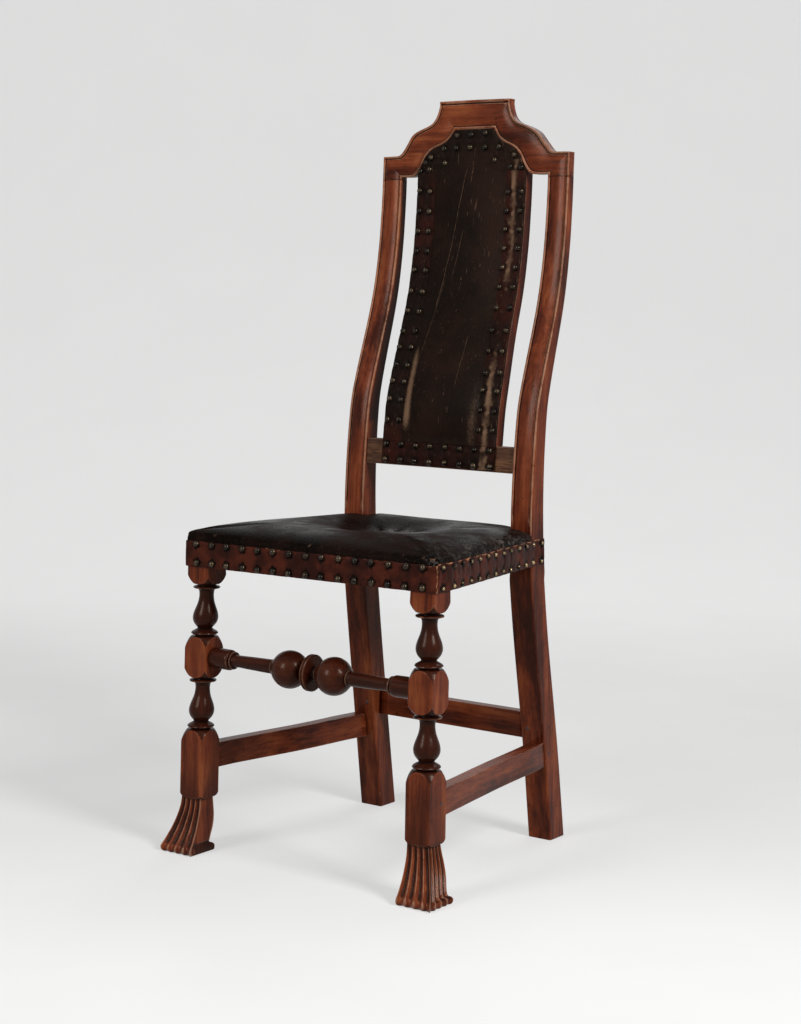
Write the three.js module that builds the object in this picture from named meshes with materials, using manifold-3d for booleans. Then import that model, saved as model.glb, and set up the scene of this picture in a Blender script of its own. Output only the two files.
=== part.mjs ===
// A tall joined side chair: turned front legs with carved feet, crook-backed rear posts, a moulded
// crest, a leather panel nailed to the back and an over-upholstered leather seat.
// Millimetres, +Z up. The front of the chair faces -Y and +X is on the right of someone facing it.

import * as THREE from 'three';
import { mergeVertices } from 'three/addons/utils/BufferGeometryUtils.js';
import Module from 'manifold-3d';

const wasm = await Module();
wasm.setup();

// Sizes shared by the whole chair
const fitGap = 0.3;
const overrun = 4;

// Front legs: squares joined by turned balusters, on a carved foot
const legCentreX = 206;
const legSquare = 39;
const footHeight = 82;
const lowerBlockLength = 103;
const lowerBalusterLength = 79;
const middleBlockLength = 63;
const upperBalusterLength = 85;
const upperBlockLength = 61;
const blockShoulderRun = 14;
const blockFootRound = 5;
const turnedSides = 12;

// Carved foot, measured at the front right leg
const footTopInset = 2.5;
const toeForward = 24;
const toeOutward = 17;
const heelUndercut = 18;
const footRibDepth = 1.8;
const frontRibs = 5;
const sideRibs = 4;

// Rear posts: one piece each, raked below the seat and crooked above it
const postCentreX = 160;
const postWidth = 38;
const postHeight = 1041;
const postDepth = 41.5;
const seatToPosts = 331.5;
const postSweep = 90;
const mouldingDepth = 3;

// Crest rail
const crestRise = 127;
const crestLean = 4;
const crestBoardRise = 11;

// Back panel
const stileWidth = 28;
const stileDepth = 19;
const panelHalfWidth = 107;
const panelRecess = 0.5;
const panelLeather = 2.2;
const panelLinen = 0.8;
const panelPuff = 7;
const linenInset = 2;
const panelPadShare = 0.58;
const backPadClearance = 0.7;
const panelPadMargin = 26;
const borderShare = 0.3364;
const borderThickness = 1.6;
const stayRailRise = 103;
const stayRailHeight = 40;
const stayRailDepth = 18;
const panelDropOnStay = 37;

// Seat frame
const railHeight = 36;
const railThickness = 25;
const rearRailSetback = 8;

// Seat upholstery
const webWidth = 50;
const webThickness = 1.6;
const websAcross = 3;
const websAlong = 3;
const sackcloth = 0.8;
const seatLeather = 2.4;
const seatEdgeRise = 7;
const seatCrown = 18;
const stuffingInset = 6;
const padClearance = 1.2;
const dimpleDepth = 11;
const dimpleRadius = 46;
const dimpleSetback = 45;
const creaseDepth = 1.4;
const creases = 7;
const bandThickness = 1.8;
const bandRise = 3.5;
const bandCornerRun = 4;

// Stretchers
const sideStretcherRise = 37;
const sideStretcherHeight = 38;
const sideStretcherThickness = 20;
const rearStretcherHeight = 40;
const rearStretcherThickness = 20;
const faceInset = 2;

// Front stretcher, turned: radii and half lengths from its middle
const ballRadius = 28;
const ballCentre = 40.5;
const discRadius = 27;
const collarRadius = 15.5;
const collarStart = 144;
const rodThick = 10.6;
const rodThin = 8.8;
const stretcherLip = 1.4;
const stretcherTenonRadius = 8;
const stretcherTenon = 20;
const stretcherSides = 12;

// Joinery
const tenonLength = 23;
const shortTenon = 15;
const tenonThickness = 9;
const tenonShoulder = 6;
const crestTenonWidth = 22;
const crestTenonThickness = 7;
const crestTenonSetback = 5.5;
const stileTenonWidth = 14;
const pegRadius = 3.2;
const pegProud = 0.6;
const pegSides = 8;
const pegLength = 26;
const pegPastTenon = 2;
const shortPegLength = 13;

// Brass nails
const nailRadius = 4.7;
const nailRise = 3.6;
const nailBedding = 0.9;
const nailSides = 5;
const frontNails = 15;
const sideNails = 13;
const backNails = 15;
const bottomNails = 8;
const nailEdgeInset = 5.5;
const outerNailInset = 8;
const innerNailInset = 6;

// Heights and lines that follow from the sizes
const legHalf = legSquare / 2;
const legOuterX = legCentreX + legHalf;
const legInnerX = legCentreX - legHalf;
const lowerBlockTop = footHeight + lowerBlockLength;
const middleBlockBottom = lowerBlockTop + lowerBalusterLength;
const middleBlockTop = middleBlockBottom + middleBlockLength;
const upperBlockBottom = middleBlockTop + upperBalusterLength;
const legTop = upperBlockBottom + upperBlockLength;
const railTop = legTop;
const railBottom = railTop - railHeight;
const borderWidth = panelHalfWidth * borderShare;
const postOuterX = postCentreX + postWidth / 2;
const postInnerX = postCentreX - postWidth / 2;
const stayBottom = railTop + stayRailRise;
const stayTop = stayBottom + stayRailHeight;
const sideStretcherBottom = footHeight + sideStretcherRise;
const sideStretcherTop = sideStretcherBottom + sideStretcherHeight;
const rearStretcherTop = sideStretcherTop + rearStretcherHeight;

// Post profile: share of the post height, then shares of the sweep and of the depth
const postFrontShares = [
  [0, 0.783], [0.058, 0.677], [0.144, 0.52], [0.288, 0.255], [0.384, 0.09], [0.423, 0.026],
  [0.461, 0], [0.5, 0], [0.538, 0.0155], [0.576, 0.043], [0.615, 0.086], [0.653, 0.148],
  [0.682, 0.239], [0.711, 0.349], [0.74, 0.464], [0.7685, 0.578], [0.797, 0.683],
  [0.826, 0.773], [0.855, 0.842], [0.884, 0.896], [0.9125, 0.937], [0.9415, 0.964],
  [0.97, 0.987], [1, 1],
];
const postDepthShares = [
  [0, 1], [0.144, 0.965], [0.288, 0.95], [0.423, 0.96], [0.461, 0.92], [0.538, 0.82],
  [0.653, 0.7], [0.7685, 0.55], [0.884, 0.46], [1, 0.43],
];

function along(table, at) {
  const last = table.length - 1;
  if (at <= table[0][0]) return table[0][1];
  if (at >= table[last][0]) return table[last][1];
  const k = table.findIndex((row) => row[0] >= at);
  const [a, b] = [table[k - 1], table[k]];
  return a[1] + (b[1] - a[1]) * (at - a[0]) / (b[0] - a[0]);
}

// Front face of the posts and, above them, of the crest
function frontY(z) {
  const rise = Math.max(0, z - postHeight);
  return seatToPosts + postSweep * along(postFrontShares, z / postHeight)
    + crestLean * rise / crestRise;
}

function depthAt(z) {
  return postDepth * along(postDepthShares, z / postHeight);
}

const crestThickness = depthAt(postHeight);

// Heights between two limits where the curve of the back has a station
const curveLevels = postFrontShares.map(([share]) => share * postHeight);
const levelsBetween = (low, high, extra) => [
  low,
  ...[...curveLevels, ...extra].filter((z) => z > low + fitGap && z < high - fitGap)
    .sort((a, b) => a - b),
  high,
];
const stileFront = panelRecess + panelLeather + fitGap + panelLinen + fitGap;

// Crest outline: shares of the half width and of the crest's rise, outer edge then inner edge
const crestOuterShares = [
  [1, 0], [1, 0.303], [0.911, 0.307], [0.838, 0.311], [0.799, 0.339], [0.763, 0.402],
  [0.735, 0.461], [0.712, 0.516], [0.682, 0.571], [0.637, 0.614], [0.575, 0.65],
  [0.514, 0.681], [0.464, 0.72], [0.43, 0.776], [0.408, 0.839], [0.394, 0.906],
  [0.388, 0.949], [0.391, 0.996], [0.19, 0.998], [0, 1],
];
const crestInnerShares = [
  [0, 0], [0, 0.032], [0.726, 0.028], [0.67, 0.033], [0.631, 0.058], [0.601, 0.104],
  [0.575, 0.161], [0.553, 0.221], [0.531, 0.276], [0.503, 0.327], [0.469, 0.37],
  [0.425, 0.402], [0.374, 0.429], [0.327, 0.457], [0.285, 0.492], [0.254, 0.535],
  [0.232, 0.579], [0.207, 0.622], [0.1, 0.622], [0, 0.622],
];
const mitreSteps = 2;
const archStartSteps = 5;
const archCornerSteps = 17;
const crestBase = postHeight + fitGap;
const crestPoint = (share, base) => [
  share[0] * postOuterX,
  Math.max(base, postHeight + share[1] * crestRise),
];
const crestOuter = crestOuterShares.map((share) => crestPoint(share, crestBase));
const crestInner = crestInnerShares.map((share, k) => {
  const point = crestPoint(share, crestBase);
  return k < mitreSteps ? [postInnerX, point[1]] : point;
});

// Half width of the leather panel at a height, inside the crest's arch
const archTable = crestInner.slice(archStartSteps - 1, archCornerSteps + 1).map(([x, z]) => [z, x]);
const archTop = crestInner[archCornerSteps][1];
function panelHalf(z, inset) {
  return Math.min(panelHalfWidth, along(archTable, z + fitGap) - fitGap) - inset;
}

// Moulding across the posts and the crest: share of the width, share of the moulding's depth
const mouldingShares = [
  [0, 0.7], [0.06, 0.1], [0.13, 0], [0.19, 0.6], [0.42, 0.15], [0.7, 0], [0.81, 0.6],
  [0.87, 0], [0.94, 0.1], [1, 0.7],
];

// Geometry helpers
function outward(geometry) {
  const p = geometry.attributes.position;
  const index = geometry.index.array;
  const [a, b, c] = [new THREE.Vector3(), new THREE.Vector3(), new THREE.Vector3()];
  let volume = 0;
  for (let i = 0; i < index.length; i += 3) {
    a.fromBufferAttribute(p, index[i]);
    b.fromBufferAttribute(p, index[i + 1]);
    c.fromBufferAttribute(p, index[i + 2]);
    volume += a.dot(b.cross(c));
  }
  if (volume < 0) {
    for (let i = 0; i < index.length; i += 3) {
      [index[i], index[i + 1]] = [index[i + 1], index[i]];
    }
  }
  return geometry;
}

function indexed(points, index) {
  const geometry = new THREE.BufferGeometry();
  geometry.setAttribute('position', new THREE.Float32BufferAttribute(points, 3));
  geometry.setIndex(index);
  return geometry;
}

// Closed solid through rings of [x, y, z] points, with flat ends
function loft(rings) {
  const n = rings[0].length;
  const index = [];
  for (let r = 0; r + 1 < rings.length; r += 1) {
    for (let i = 0; i < n; i += 1) {
      const j = (i + 1) % n;
      index.push(r * n + i, r * n + j, (r + 1) * n + j);
      index.push(r * n + i, (r + 1) * n + j, (r + 1) * n + i);
    }
  }
  cap(rings[0], 0, true, index);
  cap(rings[rings.length - 1], (rings.length - 1) * n, false, index);
  return outward(indexed(rings.flat(2), index));
}

function cap(ring, start, turned, index) {
  const normal = new THREE.Vector3();
  ring.forEach((p, i) => {
    const q = ring[(i + 1) % ring.length];
    normal.x += (p[1] - q[1]) * (p[2] + q[2]);
    normal.y += (p[2] - q[2]) * (p[0] + q[0]);
    normal.z += (p[0] - q[0]) * (p[1] + q[1]);
  });
  normal.normalize();
  const side = new THREE.Vector3(0, 0, 1);
  if (Math.abs(normal.z) > Math.SQRT1_2) side.set(1, 0, 0);
  const u = new THREE.Vector3().crossVectors(side, normal).normalize();
  const v = new THREE.Vector3().crossVectors(normal, u);
  const flat = ring.map((p) => {
    const at = new THREE.Vector3(...p);
    return new THREE.Vector2(at.dot(u), at.dot(v));
  });
  THREE.ShapeUtils.triangulateShape(flat, []).forEach(([a, b, c]) => {
    if (turned) index.push(start + c, start + b, start + a);
    else index.push(start + a, start + b, start + c);
  });
}

// Outline in plan, extruded upwards
function prism(outline, bottom, top) {
  return loft([bottom, top].map((z) => outline.map(([x, y]) => [x, y, z])));
}

function box(x0, x1, y0, y1, z0, z1) {
  return prism([[x0, y0], [x1, y0], [x1, y1], [x0, y1]], z0, z1);
}

function mirrored(geometry) {
  const twin = geometry.clone();
  twin.applyMatrix4(new THREE.Matrix4().makeScale(-1, 1, 1));
  return outward(twin);
}

function solid(geometry) {
  const bare = geometry.clone();
  bare.deleteAttribute('normal');
  bare.deleteAttribute('uv');
  const merged = outward(mergeVertices(bare));
  return new wasm.Manifold(new wasm.Mesh({
    numProp: 3,
    vertProperties: new Float32Array(merged.attributes.position.array),
    triVerts: new Uint32Array(merged.index.array),
  }));
}

function shape(body) {
  const mesh = body.getMesh();
  const geometry = indexed(Array.from(mesh.vertProperties), Array.from(mesh.triVerts));
  return geometry;
}

const join = (base, ...pieces) => pieces.reduce((body, g) => body.add(solid(g)), base);
const cut = (base, ...pieces) => pieces.reduce((body, g) => body.subtract(solid(g)), base);

// Tenon boxes: the same limits, grown by the clearance for the mortise
function tenon(limits, grow) {
  const [x0, x1, y0, y1, z0, z1] = limits;
  return box(x0 - grow, x1 + grow, y0 - grow, y1 + grow, z0 - grow, z1 + grow);
}

// Turned solid about the vertical from [height, radius] pairs, lowest first
function turned(profile, sides) {
  const points = [
    new THREE.Vector2(0, profile[0][0]),
    ...profile.map(([z, r]) => new THREE.Vector2(r, z)),
    new THREE.Vector2(0, profile[profile.length - 1][0]),
  ];
  const geometry = new THREE.LatheGeometry(points, sides);
  geometry.rotateX(Math.PI / 2);
  return geometry;
}

// Peg whose outer end is at a point, running inwards along a unit direction
function peg(end, direction, length, radius, proud) {
  const geometry = new THREE.CylinderGeometry(radius, radius, length + proud, pegSides);
  geometry.translate(0, (length - proud) / 2, 0);
  const turn = new THREE.Quaternion();
  turn.setFromUnitVectors(new THREE.Vector3(0, 1, 0), new THREE.Vector3(...direction));
  geometry.applyQuaternion(turn);
  geometry.translate(...end);
  return geometry;
}

const pegHole = (end, direction, length) => (
  peg(end, direction, length + fitGap, pegRadius + fitGap, overrun)
);

// Domed nail head on a face
const nailShares = [[1, 0], [0.72, 0.66]];
function nailHead(at, direction) {
  const points = [
    new THREE.Vector2(0, -nailBedding),
    new THREE.Vector2(nailRadius, -nailBedding),
    ...nailShares.slice(1).map(([r, h]) => new THREE.Vector2(r * nailRadius, h * nailRise)),
    new THREE.Vector2(0, nailRise),
  ];
  const geometry = new THREE.LatheGeometry(points, nailSides);
  const turn = new THREE.Quaternion();
  turn.setFromUnitVectors(new THREE.Vector3(0, 1, 0), new THREE.Vector3(...direction).normalize());
  geometry.applyQuaternion(turn);
  geometry.translate(...at);
  return geometry;
}

const spread = (count, from, to) => (
  Array.from({ length: count }, (_, k) => from + (to - from) * k / (count - 1))
);

// Materials
const finish = (color, roughness, metalness = 0) => (
  () => new THREE.MeshStandardMaterial({ color, roughness, metalness })
);
const maple = finish(0x6e2f1d, 0.4);
const oak = finish(0x7a4a2b, 0.6);
const pegWood = finish(0x4a2114, 0.6);
const blackLeather = finish(0x1d1513, 0.35);
const brownLeather = finish(0x4a2219, 0.5);
const linen = finish(0xb9a27c, 0.95);
const webbing = finish(0xa88c5f, 0.95);
const grass = finish(0x9c8450, 1);

const chair = new THREE.Group();
chair.name = 'chair';
function add(name, geometry, material) {
  const mesh = new THREE.Mesh(geometry, material());
  mesh.name = name;
  chair.add(mesh);
}
function addPair(name, geometry, material) {
  add(`right_${name}`, geometry, material);
  add(`left_${name}`, mirrored(geometry), material);
}

// Joints shared by two pieces, as boxes on the right-hand side
const midOf = (a, b) => (a + b) / 2;
const sideStretcherZ = midOf(sideStretcherBottom, sideStretcherTop);
const rearStretcherZ = midOf(sideStretcherTop, rearStretcherTop);
const stayZ = midOf(stayBottom, stayTop);
const railZ = midOf(railBottom, railTop);
const rearStretcherBack = frontY(rearStretcherZ) + depthAt(rearStretcherZ) - faceInset;
const rearStretcherFront = rearStretcherBack - rearStretcherThickness;
const rearRailFront = frontY(railZ) + rearRailSetback;
const rearRailBack = rearRailFront + railThickness;
const stayFront = frontY(stayZ) + stileFront;
const stayBack = stayFront + stayRailDepth;
const centred = (middle, size) => [middle - size / 2, middle + size / 2];

// Outer faces of the side rails and stretchers, from the leg's side to the post's side
const sideLine = (y, inset, back) => (
  legOuterX + (postOuterX - legOuterX) * (y - legSquare) / (back - legSquare) - inset
);
const legStretcherX = legOuterX - faceInset - sideStretcherThickness / 2;
const postStretcherX = postOuterX - faceInset - sideStretcherThickness / 2;
const legRailX = legOuterX - railThickness / 2;
const postRailX = postOuterX - railThickness / 2;
const inside = tenonShoulder;
const railJoint = [railBottom + tenonShoulder, railTop - tenonShoulder];

const joints = {
  sideStretcherFront: [
    ...centred(legStretcherX, tenonThickness), legSquare - tenonLength, legSquare + inside,
    sideStretcherBottom + tenonShoulder, sideStretcherTop - tenonShoulder,
  ],
  sideStretcherBack: [
    ...centred(postStretcherX, tenonThickness),
    frontY(sideStretcherBottom) - inside, frontY(sideStretcherTop) + tenonLength,
    sideStretcherBottom + tenonShoulder, sideStretcherTop - tenonShoulder,
  ],
  rearStretcher: [
    postInnerX - inside, postInnerX + tenonLength,
    ...centred(midOf(rearStretcherFront, rearStretcherBack), tenonThickness),
    sideStretcherTop + tenonShoulder, rearStretcherTop - tenonShoulder,
  ],
  frontRail: [
    legInnerX - inside, legInnerX + tenonLength,
    legHalf - tenonThickness - fitGap, legHalf - fitGap, ...railJoint,
  ],
  sideRailFront: [
    ...centred(legRailX, tenonThickness), legSquare - shortTenon, legSquare + inside,
    ...railJoint,
  ],
  sideRailBack: [
    ...centred(postRailX, tenonThickness), frontY(railZ) - inside,
    frontY(railZ) + shortTenon, ...railJoint,
  ],
  rearRail: [
    postInnerX - inside, postInnerX + shortTenon,
    rearRailBack - tenonThickness - fitGap, rearRailBack - fitGap, ...railJoint,
  ],
  stayRail: [
    postInnerX - inside, postInnerX + tenonLength,
    ...centred(midOf(stayFront, stayBack), tenonThickness),
    stayBottom + tenonShoulder, stayTop - tenonShoulder,
  ],
  crest: [
    ...centred(postCentreX, crestTenonWidth),
    frontY(postHeight) + crestTenonSetback,
    frontY(postHeight) + crestTenonSetback + crestTenonThickness,
    postHeight - inside, postHeight + tenonLength,
  ],
};

const stileX = panelHalfWidth - stileWidth / 2;
const stileTop = postHeight + crestBoardRise - fitGap;
const stileTenonY = (z) => centred(
  frontY(z) + midOf(stileFront, crestThickness), crestTenonThickness,
);
joints.stileTop = [
  ...centred(stileX, stileTenonWidth), ...stileTenonY(stileTop),
  stileTop - inside, stileTop + shortTenon,
];
joints.stileFoot = [
  ...centred(stileX, stileTenonWidth),
  ...centred(midOf(stayFront, stayBack), crestTenonThickness),
  stayTop - shortTenon, stayTop + inside,
];

// Pegs: outer end, direction into the wood, length
const pegs = {
  side_stretcher_front_peg: [
    [legOuterX, legSquare - tenonLength / 2, sideStretcherZ], [-1, 0, 0], pegLength,
  ],
  side_stretcher_back_peg: [
    [postOuterX, frontY(sideStretcherZ) + tenonLength / 2, sideStretcherZ], [-1, 0, 0],
    pegLength,
  ],
  rear_stretcher_peg: [
    [postInnerX + tenonLength / 2, frontY(rearStretcherZ), rearStretcherZ], [0, 1, 0],
    joints.rearStretcher[3] - frontY(rearStretcherZ) + pegPastTenon,
  ],
  stay_rail_peg: [
    [postInnerX + tenonLength / 2, frontY(stayZ) + depthAt(stayZ), stayZ], [0, -1, 0],
    frontY(stayZ) + depthAt(stayZ) - joints.stayRail[2] + pegPastTenon,
  ],
  crest_peg: [
    [postCentreX, frontY(postHeight) + crestThickness, postHeight + tenonLength / 2],
    [0, -1, 0], shortPegLength,
  ],
};

// Front legs: a square bar turned between its blocks
const balusterShares = [
  [0, 0.66], [0.035, 0.62], [0.055, 0.86], [0.1, 1], [0.15, 0.86], [0.17, 0.6],
  [0.25, 0.53], [0.33, 0.57], [0.42, 0.68], [0.52, 0.83], [0.635, 0.91], [0.72, 0.84],
  [0.79, 0.66], [0.845, 0.46], [0.885, 0.54], [0.905, 0.86], [0.945, 1], [0.98, 0.84], [1, 0.66],
];
const shoulderShares = [[0, 0.66], [0.06, 1], [0.35, 1.18], [0.7, 1.34], [1, 1.45]];
const blockRadiusShare = 1.45;
const blockFootShares = [[0, 1.16], [0.4, 1.32], [1, 1.45]];

function baluster(bottom, length) {
  return balusterShares.slice().reverse().map(([t, r]) => [
    bottom + (1 - t) * length, r * legHalf,
  ]);
}
const shoulderUnder = (top) => (
  shoulderShares.slice().reverse().slice(0, -1).map(([t, r]) => [
    top - t * blockShoulderRun, r * legHalf,
  ])
);
const shoulderOver = (bottom) => (
  shoulderShares.slice(1).map(([t, r]) => [bottom + t * blockShoulderRun, r * legHalf])
);

const legProfile = [
  ...blockFootShares.map(([t, r]) => [footHeight + t * blockFootRound, r * legHalf]),
  ...shoulderUnder(lowerBlockTop),
  ...baluster(lowerBlockTop, lowerBalusterLength),
  ...shoulderOver(middleBlockBottom),
  ...shoulderUnder(middleBlockTop),
  ...baluster(middleBlockTop, upperBalusterLength),
  ...shoulderOver(upperBlockBottom),
  [legTop, blockRadiusShare * legHalf],
];

// Carved foot: shares of its height, then of the forward and outward throws, the undercut
// behind and the rib depth
const footShares = [
  [0, 0.82, 0.8, 0.5, 1], [0.04, 0.93, 0.93, 0.45, 1], [0.11, 1, 1, 0.5, 1],
  [0.17, 0.9, 0.88, 1, 1], [0.27, 0.66, 0.62, 0.9, 1], [0.42, 0.34, 0.28, 0.5, 1],
  [0.6, 0.1, 0.06, 0.4, 0.9], [0.8, 0, 0, 0.48, 0.7], [1, 0, 0, 0.55, 0.5],
];
const footJoint = 3;

function footRing([zShare, forward, out, under, rib]) {
  const z = zShare * (footHeight + footJoint);
  const near = footTopInset * (1 - forward) - toeForward * forward;
  const right = legCentreX + legHalf - footTopInset * (1 - out) + toeOutward * out;
  const left = legCentreX - legHalf + footTopInset * (1 - out);
  const far = legSquare - heelUndercut * under;
  const ring = [];
  const frontSteps = frontRibs * 2;
  const sideSteps = sideRibs * 2;
  const depth = footRibDepth * rib;
  for (let k = 0; k <= frontSteps; k += 1) {
    ring.push([left + (right - left) * k / frontSteps, near + (k % 2 ? depth : 0), z]);
  }
  for (let k = 1; k <= sideSteps; k += 1) {
    ring.push([right - (k % 2 ? depth : 0), near + (far - near) * k / sideSteps, z]);
  }
  ring.push([left, far, z]);
  return ring;
}

const legTurning = turned(legProfile, turnedSides);
legTurning.translate(legCentreX, legHalf, 0);
const legBar = solid(legTurning).intersect(
  solid(box(legInnerX, legOuterX, 0, legSquare, 0, legTop)),
);
const frontStretcherZ = midOf(middleBlockBottom, middleBlockTop);

const discShares = [0.06, 0.1, 0.15, 0.2, 0.34, 0.42];
const ballAngleShares = [0.12, 0.2, 0.3, 0.4, 0.5, 0.6, 0.7, 0.8, 0.88];
const collarShares = [
  [0, 0.62], [0.05, 0.86], [0.17, 0.86], [0.22, 0.68], [0.3, 0.68], [0.36, 0.92], [0.5, 1],
];

function frontStretcherGeometry(grow) {
  const half = [];
  const put = (x, r) => half.push([x, r + grow]);
  const groove = discRadius - stretcherLip;
  put(0, groove);
  put(discShares[0] * discRadius, discRadius);
  put(discShares[1] * discRadius, discRadius);
  put(discShares[2] * discRadius, groove);
  put(discShares[3] * discRadius, rodThin);
  put(discShares[4] * discRadius, rodThin);
  put(discShares[5] * discRadius, rodThick + stretcherLip);
  ballAngleShares.forEach((share) => {
    const angle = Math.PI * share;
    put(ballCentre - ballRadius * Math.cos(angle), ballRadius * Math.sin(angle));
  });
  const ballEnd = ballCentre + ballRadius;
  put(ballEnd, rodThick + stretcherLip);
  put(ballEnd + stretcherLip, rodThick);
  put(collarStart - collarRadius * collarShares[0][0], rodThin);
  collarShares.forEach(([x, r]) => put(collarStart + x * collarRadius, r * collarRadius));
  put(legInnerX - fitGap - grow, collarRadius);
  put(legInnerX - fitGap - grow, stretcherTenonRadius);
  put(legInnerX + stretcherTenon + grow, stretcherTenonRadius);
  const profile = [
    ...half.slice(1).reverse().map(([x, r]) => [-x, r]),
    ...half,
  ];
  const geometry = turned(profile, stretcherSides);
  geometry.rotateY(Math.PI / 2);
  geometry.translate(0, legHalf, frontStretcherZ);
  return geometry;
}

const stretcherSocket = turned(
  [[0, stretcherTenonRadius + fitGap], [stretcherTenon + overrun, stretcherTenonRadius + fitGap]],
  stretcherSides,
);
stretcherSocket.rotateY(Math.PI / 2);
stretcherSocket.translate(legInnerX - overrun + fitGap * 2, legHalf, frontStretcherZ);

const frontLeg = shape(cut(
  join(legBar, loft(footShares.map(footRing))),
  tenon(joints.sideStretcherFront, fitGap),
  tenon(joints.frontRail, fitGap),
  tenon(joints.sideRailFront, fitGap),
  stretcherSocket,
  pegHole(...pegs.side_stretcher_front_peg),
));
addPair('front_leg', frontLeg, maple);

// Rear posts: the moulding starts above the seat
const mouldingStart = railTop + seatEdgeRise + seatCrown;
const mouldingRun = 30;

function postRing(z) {
  const front = frontY(z);
  const back = front + depthAt(z);
  const carved = Math.min(1, Math.max(0, (z - mouldingStart) / mouldingRun));
  const ring = mouldingShares.map(([t, p]) => [
    postOuterX - t * postWidth, front + p * mouldingDepth * carved, z,
  ]);
  ring.push([postInnerX, back, z], [postOuterX, back, z]);
  return ring;
}
const postLevels = [
  ...postFrontShares.map(([share]) => share * postHeight), mouldingStart,
  mouldingStart + mouldingRun,
].sort((a, b) => a - b);

const rearPost = shape(cut(
  join(solid(loft(postLevels.map(postRing))), tenon(joints.crest, 0)),
  tenon(joints.sideStretcherBack, fitGap),
  tenon(joints.rearStretcher, fitGap),
  tenon(joints.sideRailBack, fitGap),
  tenon(joints.rearRail, fitGap),
  tenon(joints.stayRail, fitGap),
  pegHole(...pegs.side_stretcher_back_peg),
  pegHole(...pegs.rear_stretcher_peg),
  pegHole(...pegs.stay_rail_peg),
));
const crestPegHole = solid(pegHole(...pegs.crest_peg));
addPair('rear_post', shape(solid(rearPost).subtract(crestPegHole)), maple);

// Crest rail: a moulded ribbon over a flat board that carries the leather
function crestRing(k, sign) {
  const [ox, oz] = crestOuter[k];
  const [ix, iz] = crestInner[k];
  const at = (t, p) => {
    const z = oz + (iz - oz) * t;
    return [sign * (ox + (ix - ox) * t), frontY(z) + p, z];
  };
  return [
    ...mouldingShares.map(([t, p]) => at(t, p * mouldingDepth)),
    at(1, crestThickness), at(0, crestThickness),
  ];
}
const crestRings = [
  ...crestOuter.map((_, k) => crestRing(k, 1)),
  ...crestOuter.slice(0, -1).map((_, k) => crestRing(k, -1)).reverse(),
];

const boardOverlapShare = 0.2;
const boardBottom = postHeight + crestBoardRise;
const boardEdge = crestInner.slice(archStartSteps, archCornerSteps + 1).map(([x, z], k) => {
  const [ox, oz] = crestOuter[k + archStartSteps];
  return [x + (ox - x) * boardOverlapShare, z + (oz - z) * boardOverlapShare];
});
const boardOutline = [
  [boardEdge[0][0], boardBottom], ...boardEdge,
  ...boardEdge.slice().reverse().map(([x, z]) => [-x, z]), [-boardEdge[0][0], boardBottom],
];
const board = loft([stileFront, crestThickness].map((deep) => (
  boardOutline.map(([x, z]) => [x, frontY(z) + deep, z])
)));
const twin = (geometry) => [geometry, mirrored(geometry)];
const crest = cut(
  join(solid(loft(crestRings)), board),
  ...twin(tenon(joints.crest, fitGap)),
  ...twin(tenon(joints.stileTop, fitGap)),
  ...twin(pegHole(...pegs.crest_peg)),
);
add('crest_rail', shape(crest), maple);

// Inner stiles and stay rail of the back
const stileBottom = stayTop + fitGap;
const stile = loft(levelsBetween(stileBottom, stileTop, []).map((z) => [
  [stileX - stileWidth / 2, frontY(z) + stileFront, z],
  [stileX + stileWidth / 2, frontY(z) + stileFront, z],
  [stileX + stileWidth / 2, frontY(z) + stileFront + stileDepth, z],
  [stileX - stileWidth / 2, frontY(z) + stileFront + stileDepth, z],
]));
addPair('back_stile', shape(join(
  solid(stile), tenon(joints.stileTop, 0), tenon(joints.stileFoot, 0),
)), oak);

const stayEnd = postInnerX - fitGap;
add('stay_rail', shape(cut(
  join(
    solid(loft(levelsBetween(stayBottom, stayTop, []).map((z) => [
      [-stayEnd, frontY(z) + stileFront, z], [stayEnd, frontY(z) + stileFront, z],
      [stayEnd, stayBack, z], [-stayEnd, stayBack, z],
    ]))),
    ...twin(tenon(joints.stayRail, 0)),
  ),
  ...twin(tenon(joints.stileFoot, fitGap)),
  ...twin(pegHole(...pegs.stay_rail_peg)),
)), oak);

// Stretchers
add('front_stretcher', frontStretcherGeometry(0), maple);

function sideMember(bottom, top, frontX, backX, thickness) {
  const start = legSquare + fitGap;
  const sweepRing = (z) => {
    const end = frontY(z) - fitGap;
    return [
      [frontX - thickness / 2, start, z], [frontX + thickness / 2, start, z],
      [backX + thickness / 2, end, z], [backX - thickness / 2, end, z],
    ];
  };
  return loft([bottom, top].map(sweepRing));
}

addPair('side_stretcher', shape(cut(
  join(
    solid(sideMember(
      sideStretcherBottom, sideStretcherTop, legStretcherX, postStretcherX,
      sideStretcherThickness,
    )),
    tenon(joints.sideStretcherFront, 0), tenon(joints.sideStretcherBack, 0),
  ),
  pegHole(...pegs.side_stretcher_front_peg),
  pegHole(...pegs.side_stretcher_back_peg),
)), maple);

const rearEnd = postInnerX - fitGap;
add('rear_stretcher', shape(cut(
  join(
    solid(box(
      -rearEnd, rearEnd, rearStretcherFront, rearStretcherBack, sideStretcherTop,
      rearStretcherTop,
    )),
    ...twin(tenon(joints.rearStretcher, 0)),
  ),
  ...twin(pegHole(...pegs.rear_stretcher_peg)),
)), maple);

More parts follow.
